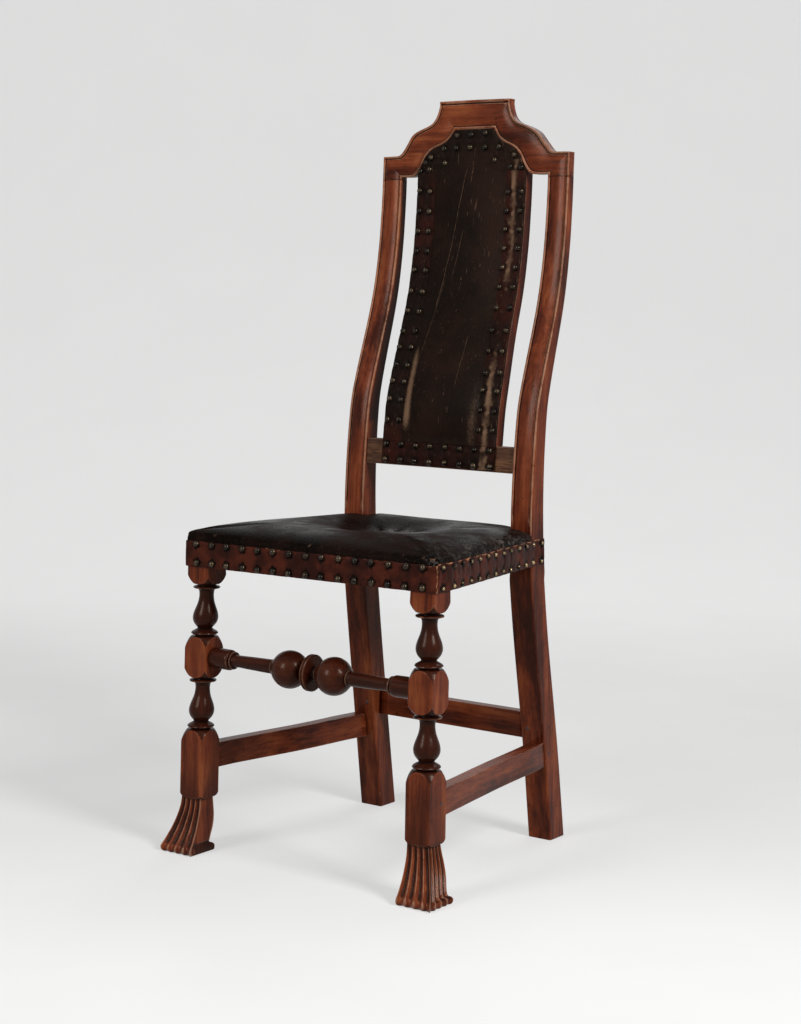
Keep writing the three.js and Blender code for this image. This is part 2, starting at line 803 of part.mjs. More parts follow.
// Seat rails
const frontRailEnd = legInnerX - fitGap;
add('front_seat_rail', shape(join(
  solid(box(-frontRailEnd, frontRailEnd, 0, railThickness, railBottom, railTop)),
  ...twin(tenon(joints.frontRail, 0)),
)), oak);
add('rear_seat_rail', shape(join(
  solid(box(-rearEnd, rearEnd, rearRailFront, rearRailBack, railBottom, railTop)),
  ...twin(tenon(joints.rearRail, 0)),
)), oak);
addPair('side_seat_rail', shape(join(
  solid(sideMember(railBottom, railTop, legRailX, postRailX, railThickness)),
  tenon(joints.sideRailFront, 0), tenon(joints.sideRailBack, 0),
)), oak);

// Pegs
Object.entries(pegs).forEach(([name, [end, direction, length]]) => {
  addPair(name, peg(end, direction, length, pegRadius, pegProud), pegWood);
});

// Webbing, interlaced: each strip passes over and under the ones that cross it
const webPitch = webThickness + fitGap;
const webMiddle = railTop + fitGap + webPitch / 2 + webThickness / 2;
const webTop = webMiddle + webPitch / 2 + webThickness / 2;

function webHeights(ends, crossings, first) {
  const points = [[ends[0], railTop + fitGap + webThickness / 2]];
  crossings.forEach((at, k) => {
    const z = webMiddle + (k % 2 === first ? 1 : -1) * webPitch / 2;
    points.push([at - webWidth / 2 - fitGap, z], [at + webWidth / 2 + fitGap, z]);
  });
  points.push([ends[1], railTop + fitGap + webThickness / 2]);
  return points;
}
function webGeometry(path, middle, across) {
  const rings = path.map(([at, z]) => {
    const half = webThickness / 2;
    const corner = (side, lift) => (across
      ? [at, middle + side * webWidth / 2, z + lift]
      : [middle + side * webWidth / 2, at, z + lift]);
    return [corner(-1, -half), corner(1, -half), corner(1, half), corner(-1, half)];
  });
  return loft(rings);
}
const seatMiddleY = midOf(0, rearRailBack);
const webSpacingX = (legInnerX + postInnerX) / (websAlong + 1);
const webSpacingY = (rearRailFront - railThickness) / websAcross;
const websX = Array.from({ length: websAlong }, (_, k) => (
  (k - (websAlong - 1) / 2) * webSpacingX
));
const websY = Array.from({ length: websAcross }, (_, k) => (
  seatMiddleY + (k - (websAcross - 1) / 2) * webSpacingY
));
websX.forEach((x, k) => {
  const ends = [tenonShoulder, rearRailBack - tenonShoulder];
  add(`web_front_to_back_${k + 1}`, webGeometry(webHeights(ends, websY, k % 2), x, false), webbing);
});
websY.forEach((y, k) => {
  const reach = sideLine(y + webWidth / 2, tenonShoulder, frontY(railZ));
  const path = webHeights([-reach, reach], websX, (k + 1) % 2);
  add(`web_side_to_side_${k + 1}`, webGeometry(path, y, true), webbing);
});

// Seat outline, offset outwards from the rails, notched round the posts
const frontSteps = 5;
const sideSteps = 5;
const notchSteps = 2;
const rearSteps = 3;
const skirtEase = 3;
const postFace = seatToPosts - fitGap;
const clothBase = webTop + fitGap;
const notchHem = clothBase + sackcloth + fitGap;

const steps = (a, b, n) => Array.from({ length: n }, (_, k) => [
  a[0] + (b[0] - a[0]) * k / n, a[1] + (b[1] - a[1]) * k / n,
]);

// Half outline from the front middle to the back middle: x, y and the height of the hem
function seatHalf(offset, wall) {
  const outX = legOuterX + offset;
  const sideX = (y) => sideLine(y, -offset, frontY(railBottom));
  const notchX = postInnerX - fitGap - wall;
  const notchY = postFace - wall;
  const hemEnd = notchY - skirtEase;
  const rearY = rearRailBack + offset;
  const low = (p) => [...p, railBottom];
  const high = (p) => [...p, notchHem];
  return [
    ...steps([0, -offset], [outX, -offset], frontSteps).map(low),
    ...steps([outX, -offset], [outX, legSquare], 1).map(low),
    ...steps([outX, legSquare], [sideX(hemEnd), hemEnd], sideSteps).map(low),
    low([sideX(hemEnd), hemEnd]),
    ...steps([sideX(notchY), notchY], [notchX, notchY], notchSteps).map(high),
    ...steps([notchX, notchY], [notchX, rearY], notchSteps).map(high),
    high([notchX, rearY]),
    ...steps([notchX - skirtEase, rearY], [0, rearY], rearSteps).map(low),
  ];
}
function seatLoop(offset, wall) {
  const half = seatHalf(offset, wall);
  const rearY = rearRailBack + offset;
  return [
    ...half, [0, rearY, railBottom],
    ...half.slice(1).reverse().map(([x, y, hem]) => [-x, y, hem]),
  ];
}

const seatCentreY = seatMiddleY + dimpleSetback;
const crownPower = 5;
const crownRoot = 0.4;
const creaseSpread = 4;
const seatEdge = railTop + seatEdgeRise;
function crownZ(share, x, y) {
  const away = Math.hypot(x, y - seatCentreY);
  const turn = Math.atan2(x, y - seatCentreY);
  const near = Math.exp(-((away / dimpleRadius) ** 2));
  const ring = Math.exp(-((away / dimpleRadius - 1) ** 2) * creaseSpread);
  const fold = creaseDepth * ring * (1 + Math.cos(creases * turn)) / 2;
  const rise = seatCrown * Math.max(0, 1 - share ** crownPower) ** crownRoot;
  return seatEdge + rise - dimpleDepth * near - fold;
}
const topShares = [0.985, 0.95, 0.88, 0.76, 0.6, 0.44, 0.32, 0.22, 0.12];
const underShares = [0.97, 0.88, 0.7, 0.5, 0.34, 0.2];
const scaled = (loop, share, drop) => loop.map(([x, y]) => {
  const at = [x * share, seatCentreY + (y - seatCentreY) * share];
  return [...at, crownZ(share, ...at) - drop];
});

const skirtOut = fitGap + seatLeather;
const leatherLoop = seatLoop(skirtOut, 0);
const liningLoop = seatLoop(fitGap, seatLeather);
const rolled = seatLoop(skirtOut - seatLeather / 2, 0);
const atHeight = (loop, z) => loop.map(([x, y]) => [x, y, z]);
const outerLoops = [
  leatherLoop, atHeight(leatherLoop, railTop + seatLeather),
  atHeight(rolled, seatEdge - seatLeather / 2),
  ...topShares.map((share) => scaled(leatherLoop, share, 0)),
];
const innerLoops = [
  ...underShares.map((share) => scaled(liningLoop, share, seatLeather)).reverse(),
  atHeight(liningLoop, seatEdge - seatLeather - fitGap), liningLoop,
];
function seatLeatherGeometry() {
  const loops = [...outerLoops, ...innerLoops];
  const n = loops[0].length;
  const points = loops.flat(2);
  const index = [];
  const skin = (a, b) => {
    for (let i = 0; i < n; i += 1) {
      const j = (i + 1) % n;
      index.push(a * n + i, a * n + j, b * n + j, a * n + i, b * n + j, b * n + i);
    }
  };
  const turn = outerLoops.length;
  for (let k = 0; k + 1 < loops.length; k += 1) {
    if (k !== turn - 1) skin(k, k + 1);
  }
  skin(loops.length - 1, 0);
  const middle = points.length / 3;
  const lowMiddle = crownZ(0, 0, seatCentreY);
  points.push(0, seatCentreY, lowMiddle, 0, seatCentreY, lowMiddle - seatLeather);
  for (let i = 0; i < n; i += 1) {
    const j = (i + 1) % n;
    index.push((turn - 1) * n + i, (turn - 1) * n + j, middle);
    index.push(turn * n + j, turn * n + i, middle + 1);
  }
  return outward(indexed(points, index));
}
add('seat_leather', seatLeatherGeometry(), blackLeather);

const padLoop = seatLoop(-stuffingInset, seatLeather + fitGap);
const padShares = [0.98, 0.9, 0.74, 0.54, 0.36, 0.18];
const padBottom = clothBase + sackcloth + fitGap;
function stuffingGeometry() {
  const drop = seatLeather + padClearance;
  const loops = [
    atHeight(padLoop, padBottom), atHeight(padLoop, seatEdge - seatLeather),
    ...padShares.map((share) => scaled(padLoop, share, drop)),
  ];
  const n = loops[0].length;
  const points = loops.flat(2);
  const index = [];
  for (let k = 0; k + 1 < loops.length; k += 1) {
    for (let i = 0; i < n; i += 1) {
      const j = (i + 1) % n;
      index.push(k * n + i, k * n + j, (k + 1) * n + j);
      index.push(k * n + i, (k + 1) * n + j, (k + 1) * n + i);
    }
  }
  const middle = points.length / 3;
  points.push(0, seatCentreY, padBottom, 0, seatCentreY, crownZ(0, 0, seatCentreY) - drop);
  const last = (loops.length - 1) * n;
  for (let i = 0; i < n; i += 1) {
    const j = (i + 1) % n;
    index.push(j, i, middle, last + i, last + j, middle + 1);
  }
  return outward(indexed(points, index));
}
add('seat_stuffing', stuffingGeometry(), grass);
const clothOutline = seatLoop(-stuffingInset, seatLeather + fitGap).map(([x, y]) => [x, y]);
add('seat_sackcloth', prism(clothOutline, clothBase, clothBase + sackcloth), linen);

// Leather bands round the seat, each with two rows of nails
const bandTop = railTop + bandRise;
const bandIn = skirtOut + fitGap;
const bandOut = bandIn + bandThickness;
const nailRows = [railBottom + nailEdgeInset, bandTop - nailEdgeInset];
const bandEndX = legOuterX + bandOut;

const nailInsetX = nailEdgeInset + bandOut * 2;
const frontBand = nailRows.reduce((band, z) => join(
  band,
  ...spread(frontNails, -bandEndX + nailInsetX, bandEndX - nailInsetX).map((x) => (
    nailHead([x, -bandOut, z], [0, -1, 0])
  )),
), solid(box(-bandEndX, bandEndX, -bandOut, -bandIn, railBottom, bandTop)));
add('front_seat_band', shape(frontBand), brownLeather);

const bandBackY = frontY(railTop) + depthAt(railTop) - fitGap;
const bandPath = (offset, postOffset) => [
  [legOuterX + offset, -bandIn + fitGap], [legOuterX + offset, legSquare],
  [sideLine(postFace + fitGap, -offset, frontY(railBottom)), postFace + fitGap],
  [postOuterX + postOffset, postFace + bandCornerRun * 2],
  [postOuterX + postOffset, bandBackY],
];
const bandOutline = [
  ...bandPath(bandOut, fitGap + bandThickness),
  ...bandPath(bandIn, fitGap).reverse(),
];
function alongPath(path, share) {
  const lengths = path.slice(1).map((p, k) => Math.hypot(p[0] - path[k][0], p[1] - path[k][1]));
  let left = share * lengths.reduce((a, b) => a + b, 0);
  let k = 0;
  while (k < lengths.length - 1 && left > lengths[k]) {
    left -= lengths[k];
    k += 1;
  }
  const [dx, dy] = [
    (path[k + 1][0] - path[k][0]) / lengths[k], (path[k + 1][1] - path[k][1]) / lengths[k],
  ];
  return { at: [path[k][0] + dx * left, path[k][1] + dy * left], out: [dy, -dx, 0] };
}
const sidePath = bandPath(bandOut, fitGap + bandThickness);
const sideLength = sidePath.slice(1).reduce((sum, p, k) => (
  sum + Math.hypot(p[0] - sidePath[k][0], p[1] - sidePath[k][1])
), 0);
const sideBand = nailRows.reduce((band, z) => join(
  band,
  ...spread(sideNails, nailInsetX / sideLength, 1 - nailEdgeInset / sideLength).map((share) => {
    const { at, out } = alongPath(sidePath, share);
    return nailHead([...at, z], out);
  }),
), solid(prism(bandOutline, railBottom, bandTop)));
addPair('side_seat_band', shape(sideBand), brownLeather);

// Back panel: linen, stuffing and leather follow the curve of the posts
const panelBottom = stayTop - panelDropOnStay;
const padBottomZ = stayTop + panelPadMargin;
const padTopZ = boardBottom - panelPadMargin;
const padMiddle = midOf(padBottomZ, padTopZ);
const archLevels = archTable.map(([z]) => z - fitGap);

function puffAt(x, z) {
  const u = Math.min(1, Math.abs(x) / (panelHalfWidth - borderWidth));
  const v = Math.min(1, Math.abs(z - padMiddle) / (padTopZ + panelPadMargin - padMiddle));
  return panelPuff * (1 - u ** 4) * (1 - v ** 6);
}
const panelTop = archTop - fitGap;
const halfColumnShares = [0, 0.3, 0.48, 0.58, 0.66, 1];
function panelRing(z, inset, near, far, widest) {
  const xs = [
    ...halfColumnShares.slice(1).reverse().map((share) => -share),
    ...halfColumnShares,
  ].filter((share) => Math.abs(share) <= widest).map((share) => share * panelHalf(z, inset));
  return [
    ...xs.map((x) => [x, near(x, z), z]),
    ...xs.slice().reverse().map((x) => [x, far(x, z), z]),
  ];
}
const leatherFrontY = (x, z) => frontY(z) + panelRecess - puffAt(x, z);
const leatherBackY = (x, z) => leatherFrontY(x, z) + panelLeather;
const panelLevels = levelsBetween(
  panelBottom, panelTop, [...archLevels, stayTop, padBottomZ, padTopZ, boardBottom],
);
add('back_leather', loft(panelLevels.map((z) => (
  panelRing(z, 0, leatherFrontY, leatherBackY, 1)
))), blackLeather);

const linenFront = panelRecess + panelLeather + fitGap;
const linenLevels = levelsBetween(stayBottom + nailEdgeInset, archTop - nailEdgeInset, archLevels);
add('back_linen', loft(linenLevels.map((z) => {
  const reach = panelHalf(z, linenInset);
  return [
    [-reach, frontY(z) + linenFront, z], [reach, frontY(z) + linenFront, z],
    [reach, frontY(z) + linenFront + panelLinen, z],
    [-reach, frontY(z) + linenFront + panelLinen, z],
  ];
})), linen);
add('back_stuffing', loft(levelsBetween(padBottomZ, padTopZ, []).map((z) => (
  panelRing(
    z, 0,
    (x, at) => leatherBackY(x, at) + backPadClearance, (x, at) => frontY(at) + linenFront - fitGap,
    panelPadShare,
  )
))), grass);

// Border strips over the edges of the leather, nailed through it
const stripFrontY = (z) => frontY(z) + panelRecess - fitGap - borderThickness;
const stripBackY = (z) => frontY(z) + panelRecess - fitGap;
const bottomStripTop = panelBottom + borderWidth;
const normalAt = (z) => [
  0, -2 * nailRadius, frontY(z + nailRadius) - frontY(z - nailRadius),
];
const topStripBottom = boardBottom;

const stripInnerX = panelHalfWidth - borderWidth;
const sideStripLevels = levelsBetween(bottomStripTop + fitGap, topStripBottom - fitGap, []);
const sideStrip = loft(sideStripLevels.map((z) => {
  const reach = panelHalf(z, 0);
  return [
    [stripInnerX, stripFrontY(z), z], [reach, stripFrontY(z), z],
    [reach, stripBackY(z), z], [stripInnerX, stripBackY(z), z],
  ];
}));
const backNailLevels = spread(backNails, panelBottom + nailEdgeInset * 2, crestInner[archStartSteps][1])
  .filter((z) => z > bottomStripTop + nailRadius && z < topStripBottom - nailRadius);
addPair('back_side_strip', shape(join(
  solid(sideStrip),
  ...backNailLevels.flatMap((z) => [
    panelHalf(z, outerNailInset), stripInnerX + innerNailInset,
  ].map((x) => (
    nailHead([x, stripFrontY(z), z], normalAt(z))
  ))),
)), brownLeather);

const bottomNailReach = panelHalfWidth - outerNailInset;
const bottomRows = [panelBottom + nailEdgeInset, bottomStripTop - nailEdgeInset];
const bottomStrip = loft(levelsBetween(panelBottom, bottomStripTop, []).map((z) => [
  [-panelHalfWidth, stripFrontY(z), z], [panelHalfWidth, stripFrontY(z), z],
  [panelHalfWidth, stripBackY(z), z], [-panelHalfWidth, stripBackY(z), z],
]));
add('back_bottom_strip', shape(join(
  solid(bottomStrip),
  ...bottomRows.flatMap((z) => spread(bottomNails, -bottomNailReach, bottomNailReach).map((x) => (
    nailHead([x, stripFrontY(z), z], normalAt(z))
  ))),
)), brownLeather);

// Strip under the arch: its outer edge follows the crest, its inner edge is a flatter curve
const stripInnerShares = [
  [0.664, 0], [0.66, 0.06], [0.645, 0.11], [0.62, 0.15], [0.585, 0.185], [0.54, 0.21],
  [0.48, 0.225], [0.42, 0.235], [0.37, 0.24], [0.33, 0.245], [0.3, 0.248], [0.28, 0.25],
  [0.25, 0.25], [0, 0.25],
];
const stripOuter = crestInner.slice(archStartSteps, archCornerSteps + 1).map(([x, z]) => [
  Math.min(x - fitGap, panelHalfWidth), z - fitGap,
]);
const archHalf = panelHalf(topStripBottom, 0);
stripOuter[0] = [archHalf, topStripBottom];
stripOuter.push([0, panelTop]);
const stripInner = stripInnerShares.map(([sx, sz], k) => [
  k === 0 ? stripInnerX : sx * archHalf, topStripBottom + sz * (archTop - topStripBottom),
]);
const stripRing = (k, sign) => {
  const [ox, oz] = stripOuter[k];
  const [ix, iz] = stripInner[k];
  return [
    [sign * ox, stripFrontY(oz), oz], [sign * ix, stripFrontY(iz), iz],
    [sign * ix, stripBackY(iz), iz], [sign * ox, stripBackY(oz), oz],
  ];
};
const topStrip = loft([
  ...stripOuter.map((_, k) => stripRing(k, 1)),
  ...stripOuter.slice(0, -1).map((_, k) => stripRing(k, -1)).reverse(),
]);
// Nail places under the arch: shares of its half width and of its height
const topNailShares = [
  [0, 0.9], [0.26, 0.9], [0.26, 0.57], [0.52, 0.57], [0, 0.57], [0.8, 0.36], [0.9, 0.13],
  [0.46, 0.33], [0.64, 0.2],
];
add('back_top_strip', shape(join(
  solid(topStrip),
  ...topNailShares.flatMap(([sx, sz]) => (sx === 0 ? [0] : [-1, 1]).map((sign) => {
    const z = topStripBottom + sz * (archTop - topStripBottom);
    return nailHead([sign * sx * archHalf, stripFrontY(z), z], normalAt(z));
  })),
)), brownLeather);

// Origin at the middle of the footprint, on the floor
const bounds = new THREE.Box3().setFromObject(chair);
const middle = bounds.getCenter(new THREE.Vector3());
chair.position.set(-middle.x, -middle.y, -bounds.min.z);

export default chair;
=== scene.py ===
import math
import random

import bmesh
import bpy
from mathutils import Matrix, Vector, noise


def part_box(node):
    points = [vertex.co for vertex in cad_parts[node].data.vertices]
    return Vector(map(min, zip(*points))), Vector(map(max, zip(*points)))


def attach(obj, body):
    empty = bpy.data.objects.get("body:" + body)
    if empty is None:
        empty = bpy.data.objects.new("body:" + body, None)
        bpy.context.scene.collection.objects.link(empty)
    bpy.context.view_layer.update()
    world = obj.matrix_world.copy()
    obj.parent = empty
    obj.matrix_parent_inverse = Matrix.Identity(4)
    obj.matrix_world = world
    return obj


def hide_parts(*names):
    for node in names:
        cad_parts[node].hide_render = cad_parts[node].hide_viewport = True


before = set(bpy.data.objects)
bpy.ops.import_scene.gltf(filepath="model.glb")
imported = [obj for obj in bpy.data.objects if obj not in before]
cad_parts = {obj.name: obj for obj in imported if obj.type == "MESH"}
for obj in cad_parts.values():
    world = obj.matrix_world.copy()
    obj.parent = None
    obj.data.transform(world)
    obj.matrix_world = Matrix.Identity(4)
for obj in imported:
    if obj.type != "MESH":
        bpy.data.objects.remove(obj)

bl_info = {
    "name": "Joined Side Chair",
    "version": (1, 0, 0),
    "blender": (4, 5, 0),
    "location": "3D View > Sidebar > Side Chair",
    "description": "Makes a joined side chair in stained maple with a nailed leather back "
                   "and seat",
    "category": "Object",
}

# Sizes are in millimetres from the face of the front seat rail; at() puts them in the frame.
MM = 0.001
RAIL_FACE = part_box("front_seat_rail")[0].y

FIT = 0.3
LEG_X, LEG_HALF = 206, 19.5
FOOT_TOP, LOW_BLOCK, MID_FOOT, MID_TOP, TOP_BLOCK, LEG_TOP = 82, 185, 264, 327, 406, 473
POST_X, POST_HALF, POST_TOP = 160, 19, 1041
POST_FACE, POST_SWEEP, POST_DEPTH = 331.5, 90, 41.5
MOULD_START, MOULD_RUN, MOULD_DEPTH = 498, 30, 3.4
CREST_RISE, CREST_LEAN, CREST_THICK = 127, 4, 17.8
RAIL_FOOT, RAIL_TOP = 437, 473
STAY_FOOT, STAY_TOP = 576, 616
PANEL_FOOT, BOARD_FOOT = 579, 1052
PANEL_HALF, BORDER = 107, 36
BACK_RAIL = 366
# Middle heights of the stretchers, and how far the back's frame lies behind the posts' faces.
SIDE_STRETCHER, REAR_STRETCHER, FRONT_STRETCHER = 138, 177, 295.5
SET_BACK = 4.1

ACROSS, BACKWARDS, UP = Vector((1, 0, 0)), Vector((0, 1, 0)), Vector((0, 0, 1))
SIDES = (("right", 1), ("left", -1))

POST_FRONT = [
    (0, 0.783), (0.058, 0.677), (0.144, 0.52), (0.288, 0.255), (0.384, 0.09), (0.423, 0.026),
    (0.461, 0), (0.5, 0), (0.538, 0.0155), (0.576, 0.043), (0.615, 0.086), (0.653, 0.148),
    (0.682, 0.239), (0.711, 0.349), (0.74, 0.464), (0.7685, 0.578), (0.797, 0.683),
    (0.826, 0.773), (0.855, 0.842), (0.884, 0.896), (0.9125, 0.937), (0.9415, 0.964),
    (0.97, 0.987), (1, 1),
]
POST_DEPTHS = [
    (0, 1), (0.144, 0.965), (0.288, 0.95), (0.423, 0.96), (0.461, 0.92), (0.538, 0.82),
    (0.653, 0.7), (0.7685, 0.55), (0.884, 0.46), (1, 0.43),
]
CREST_OUTER = [
    (1, 0), (1, 0.303), (0.911, 0.307), (0.838, 0.311), (0.799, 0.339), (0.763, 0.402),
    (0.735, 0.461), (0.712, 0.516), (0.682, 0.571), (0.637, 0.614), (0.575, 0.65),
    (0.514, 0.681), (0.464, 0.72), (0.43, 0.776), (0.408, 0.839), (0.394, 0.906),
    (0.388, 0.949), (0.391, 0.996), (0.19, 0.998), (0, 1),
]
CREST_INNER = [
    (0.788, 0), (0.788, 0.032), (0.726, 0.028), (0.67, 0.033), (0.631, 0.058), (0.601, 0.104),
    (0.575, 0.161), (0.553, 0.221), (0.531, 0.276), (0.503, 0.327), (0.469, 0.37),
    (0.425, 0.402), (0.374, 0.429), (0.327, 0.457), (0.285, 0.492), (0.254, 0.535),
    (0.232, 0.579), (0.207, 0.622), (0.1, 0.622), (0, 0.622),
]
ARCH_TOP = POST_TOP + CREST_INNER[-1][1] * CREST_RISE
# Moulding across a post or the crest: share of the width, share of the depth cut away.
MOULDING = [
    (0, 0.4), (0.012, 0.14), (0.035, 0), (0.062, 0), (0.086, 0.14), (0.1, 0.45), (0.11, 0.86),
    (0.128, 0.86), (0.142, 0.62), (0.18, 0.49), (0.25, 0.31), (0.33, 0.16), (0.42, 0.05),
    (0.5, 0.01), (0.58, 0.03), (0.66, 0.12), (0.74, 0.27), (0.8, 0.42), (0.846, 0.58),
    (0.858, 0.64), (0.872, 0.86), (0.89, 0.86), (0.9, 0.45), (0.914, 0.14), (0.938, 0),
    (0.965, 0), (0.988, 0.14), (1, 0.4),
]


def at(x, y, z):
    return Vector((x * MM, RAIL_FACE + y * MM, z * MM))


def in_mm(point):
    """The place that at() would need for a point."""
    return (point - Vector((0, RAIL_FACE, 0))) / MM


def tint(red, green, blue):
    """A colour as the eye reads it, 0 to 255, in the light values that shaders use."""
    def linear(value):
        value /= 255
        return value / 12.92 if value <= 0.04045 else ((value + 0.055) / 1.055) ** 2.4

    return linear(red), linear(green), linear(blue)


def curve(s, start, end, leaving, arriving):
    """Value at a share s of the way, on a curve of given slopes at its start and end."""
    return ((2 * s**3 - 3 * s**2 + 1) * start + (s**3 - 2 * s**2 + s) * leaving
            + (3 * s**2 - 2 * s**3) * end + (s**3 - s**2) * arriving)


def smooth(table, where):
    """Value of a table at a place, on a smooth curve through its rows."""
    if where <= table[0][0]:
        return table[0][1]
    if where >= table[-1][0]:
        return table[-1][1]
    k = next(i for i, row in enumerate(table) if row[0] >= where)
    (x0, y0), (x1, y1) = table[k - 1], table[k]
    before, after = table[max(k - 2, 0)], table[min(k + 1, len(table) - 1)]
    step = x1 - x0
    m0 = (y1 - before[1]) / (x1 - before[0]) * step
    m1 = (after[1] - y0) / (after[0] - x0) * step
    return curve((where - x0) / step, y0, y1, m0, m1)


def uneven(x, y, z):
    """Smooth noise about 0, no further out than 1."""
    return noise.noise(Vector((x, y, z)))


def bell(off, width, power=2):
    """1 where off is 0, and next to nothing from twice the width on."""
    return math.exp(-((off / width) ** power))


def ease(low, high, value):
    """0 up to low and 1 from high on, or the other way round where high is the lesser."""
    s = min(1, max(0, (value - low) / (high - low)))
    return s * s * (3 - 2 * s)


def front_y(z):
    return (POST_FACE + POST_SWEEP * smooth(POST_FRONT, z / POST_TOP)
            + CREST_LEAN * max(0, z - POST_TOP) / CREST_RISE)


def post_depth(z):
    return POST_DEPTH * smooth(POST_DEPTHS, z / POST_TOP)


def spread(low, high, count):
    return [low + (high - low) * k / (count - 1) for k in range(count)]


# Modelling: small steps that the pieces share.
def begin():
    if bpy.context.object and bpy.context.object.mode != "OBJECT":
        bpy.ops.object.mode_set(mode="OBJECT")
    bpy.ops.object.select_all(action="DESELECT")


def take(name):
    piece = bpy.context.object
    piece.name = name
    piece.data.name = name
    return piece


def only(piece):
    begin()
    piece.select_set(True)
    bpy.context.view_layer.objects.active = piece


def edit(piece, *steps):
    """Runs edit-mode steps on everything in the piece."""
    only(piece)
    bpy.ops.object.mode_set(mode="EDIT")
    bpy.ops.mesh.select_all(action="SELECT")
    for step in steps:
        step()
    bpy.ops.object.mode_set(mode="OBJECT")


def face_outwards():
    bpy.ops.mesh.select_all(action="SELECT")
    bpy.ops.mesh.normals_make_consistent(inside=False)


def modify(piece, kind, **settings):
    only(piece)
    modifier = piece.modifiers.new(kind.title(), kind)
    for key, value in settings.items():
        setattr(modifier, key, value)
    bpy.ops.object.modifier_apply(modifier=modifier.name)


def draw_out(name, rings):
    """A closed bar: a disc shaped to the first ring is extruded from ring to ring."""
    begin()
    bpy.ops.mesh.primitive_circle_add(vertices=len(rings[0]), radius=MM, fill_type="NGON")
    piece = take(name)

    def extrude():
        order = list(range(len(rings[0])))
        for k, ring in enumerate(rings):
            if k:
                bpy.ops.mesh.extrude_region_move(
                    TRANSFORM_OT_translate={"value": ring[0] - rings[k - 1][0]})
            mesh = bmesh.from_edit_mesh(piece.data)
            mesh.verts.ensure_lookup_table()
            if k:
                order = [next(e.other_vert(mesh.verts[i]).index for e in mesh.verts[i].link_edges
                              if e.other_vert(mesh.verts[i]).select) for i in order]
            for i, place in zip(order, ring):
                mesh.verts[i].co = place
            mesh.verts.index_update()
            bmesh.update_edit_mesh(piece.data)

    edit(piece, extrude, face_outwards)
    return piece


def drawn_in(ring, share):
    middle = sum(ring, Vector()) / len(ring)
    return [middle + (point - middle) * share for point in ring]


def held(outline, near=0.9):
    """The outline with points close to its corners, so that a worn arris stays narrow."""
    points = [outline[0]]
    for (r0, h0), (r1, h1) in zip(outline, outline[1:]):
        run = math.hypot(r1 - r0, h1 - h0)
        if run > near * 3:
            for t in (near / run, 1 - near / run):
                points.append((r0 + (r1 - r0) * t, h0 + (h1 - h0) * t))
        points.append((r1, h1))
    return points


def turn(name, outline, centre, along, steps=64):
    """A turned piece: a point is extruded along the outline, (radius, height), then spun."""
    outline = held(outline)
    out = -BACKWARDS if abs(along.y) < 0.5 else ACROSS
    places = [centre + along * (h * MM) + out * (r * MM) for r, h in outline]
    begin()
    bpy.ops.mesh.primitive_plane_add(size=MM, location=places[0])
    piece = take(name)
    bpy.ops.object.transform_apply(location=True)

    def spin():
        bpy.ops.mesh.merge(type="CENTER")
        for before, after in zip(places, places[1:]):
            bpy.ops.mesh.extrude_region_move(TRANSFORM_OT_translate={"value": after - before})
        bpy.ops.mesh.select_all(action="SELECT")
        bpy.ops.mesh.spin(steps=steps, angle=2 * math.pi, center=centre, axis=along)
        bpy.ops.mesh.select_all(action="SELECT")
        bpy.ops.mesh.remove_doubles(threshold=MM / 100)

    edit(piece, spin, face_outwards)
    return piece


def lay_sheet(name, columns, rows, place):
    """A grid of faces laid by place(u, v), which returns a point and its wear, below 0 where shade
    is painted.
    """
    begin()
    bpy.ops.mesh.primitive_grid_add(x_subdivisions=columns, y_subdivisions=rows, size=1)
    piece = take(name)
    worn = piece.data.attributes.new("wear", "FLOAT", "POINT")
    for k, vertex in enumerate(piece.data.vertices):
        u, v = (k % (columns + 1)) / columns, (k // (columns + 1)) / rows
        vertex.co, worn.data[k].value = place(u, v)
    return piece


def face_front(sheet):
    if sum(p.normal.y for p in sheet.data.polygons) > 0:
        edit(sheet, bpy.ops.mesh.flip_normals)


def thicken(sheet, thickness, offset=-1, smooth_by=50):
    modify(sheet, "SOLIDIFY", thickness=thickness * MM, offset=offset)
    soften(sheet, smooth_by)


def twin(piece, name):
    """The same piece for the other side of the chair, with a mesh of its own."""
    def mirror():
        bpy.ops.transform.resize(value=(-1, 1, 1), center_override=(0, 0, 0))

    only(piece)
    bpy.ops.object.duplicate()
    copy = take(name)
    edit(copy, mirror, face_outwards)
    return copy


def joined(pieces, name):
    only(pieces[0])
    for piece in pieces[1:]:
        piece.select_set(True)
    bpy.ops.object.join()
    return take(name)


def mark_wear_and_shade(piece, joints=lambda place: False, stained=lambda place: 0,
              rubbed=lambda place: 1):
    """Stores how far each point stands out, and how deep its stain is.

    Arrises are above 0; quirks, joints and faces given painted shade are below. A stain may also
    carry painted shade.
    """
    mesh = bmesh.new()
    mesh.from_mesh(piece.data)
    marks, stains = [], []
    for vertex in mesh.verts:
        turns = [e.calc_face_angle_signed() for e in vertex.link_edges if e.is_manifold]
        place = in_mm(vertex.co)
        mark = 4 * sum(turns) / max(1, len(turns))
        marks.append(-0.5 if joints(place) else mark * rubbed(place) if mark > 0 else mark)
        stains.append(stained(place))
    mesh.free()
    for name, values in (("wear", marks), ("stain", stains)):
        if name not in piece.data.attributes:
            piece.data.attributes.new(name, "FLOAT", "POINT")
        piece.data.attributes[name].data.foreach_set("value", values)


def soften(piece, degrees=32):
    only(piece)
    bpy.ops.object.shade_smooth_by_angle(angle=math.radians(degrees))


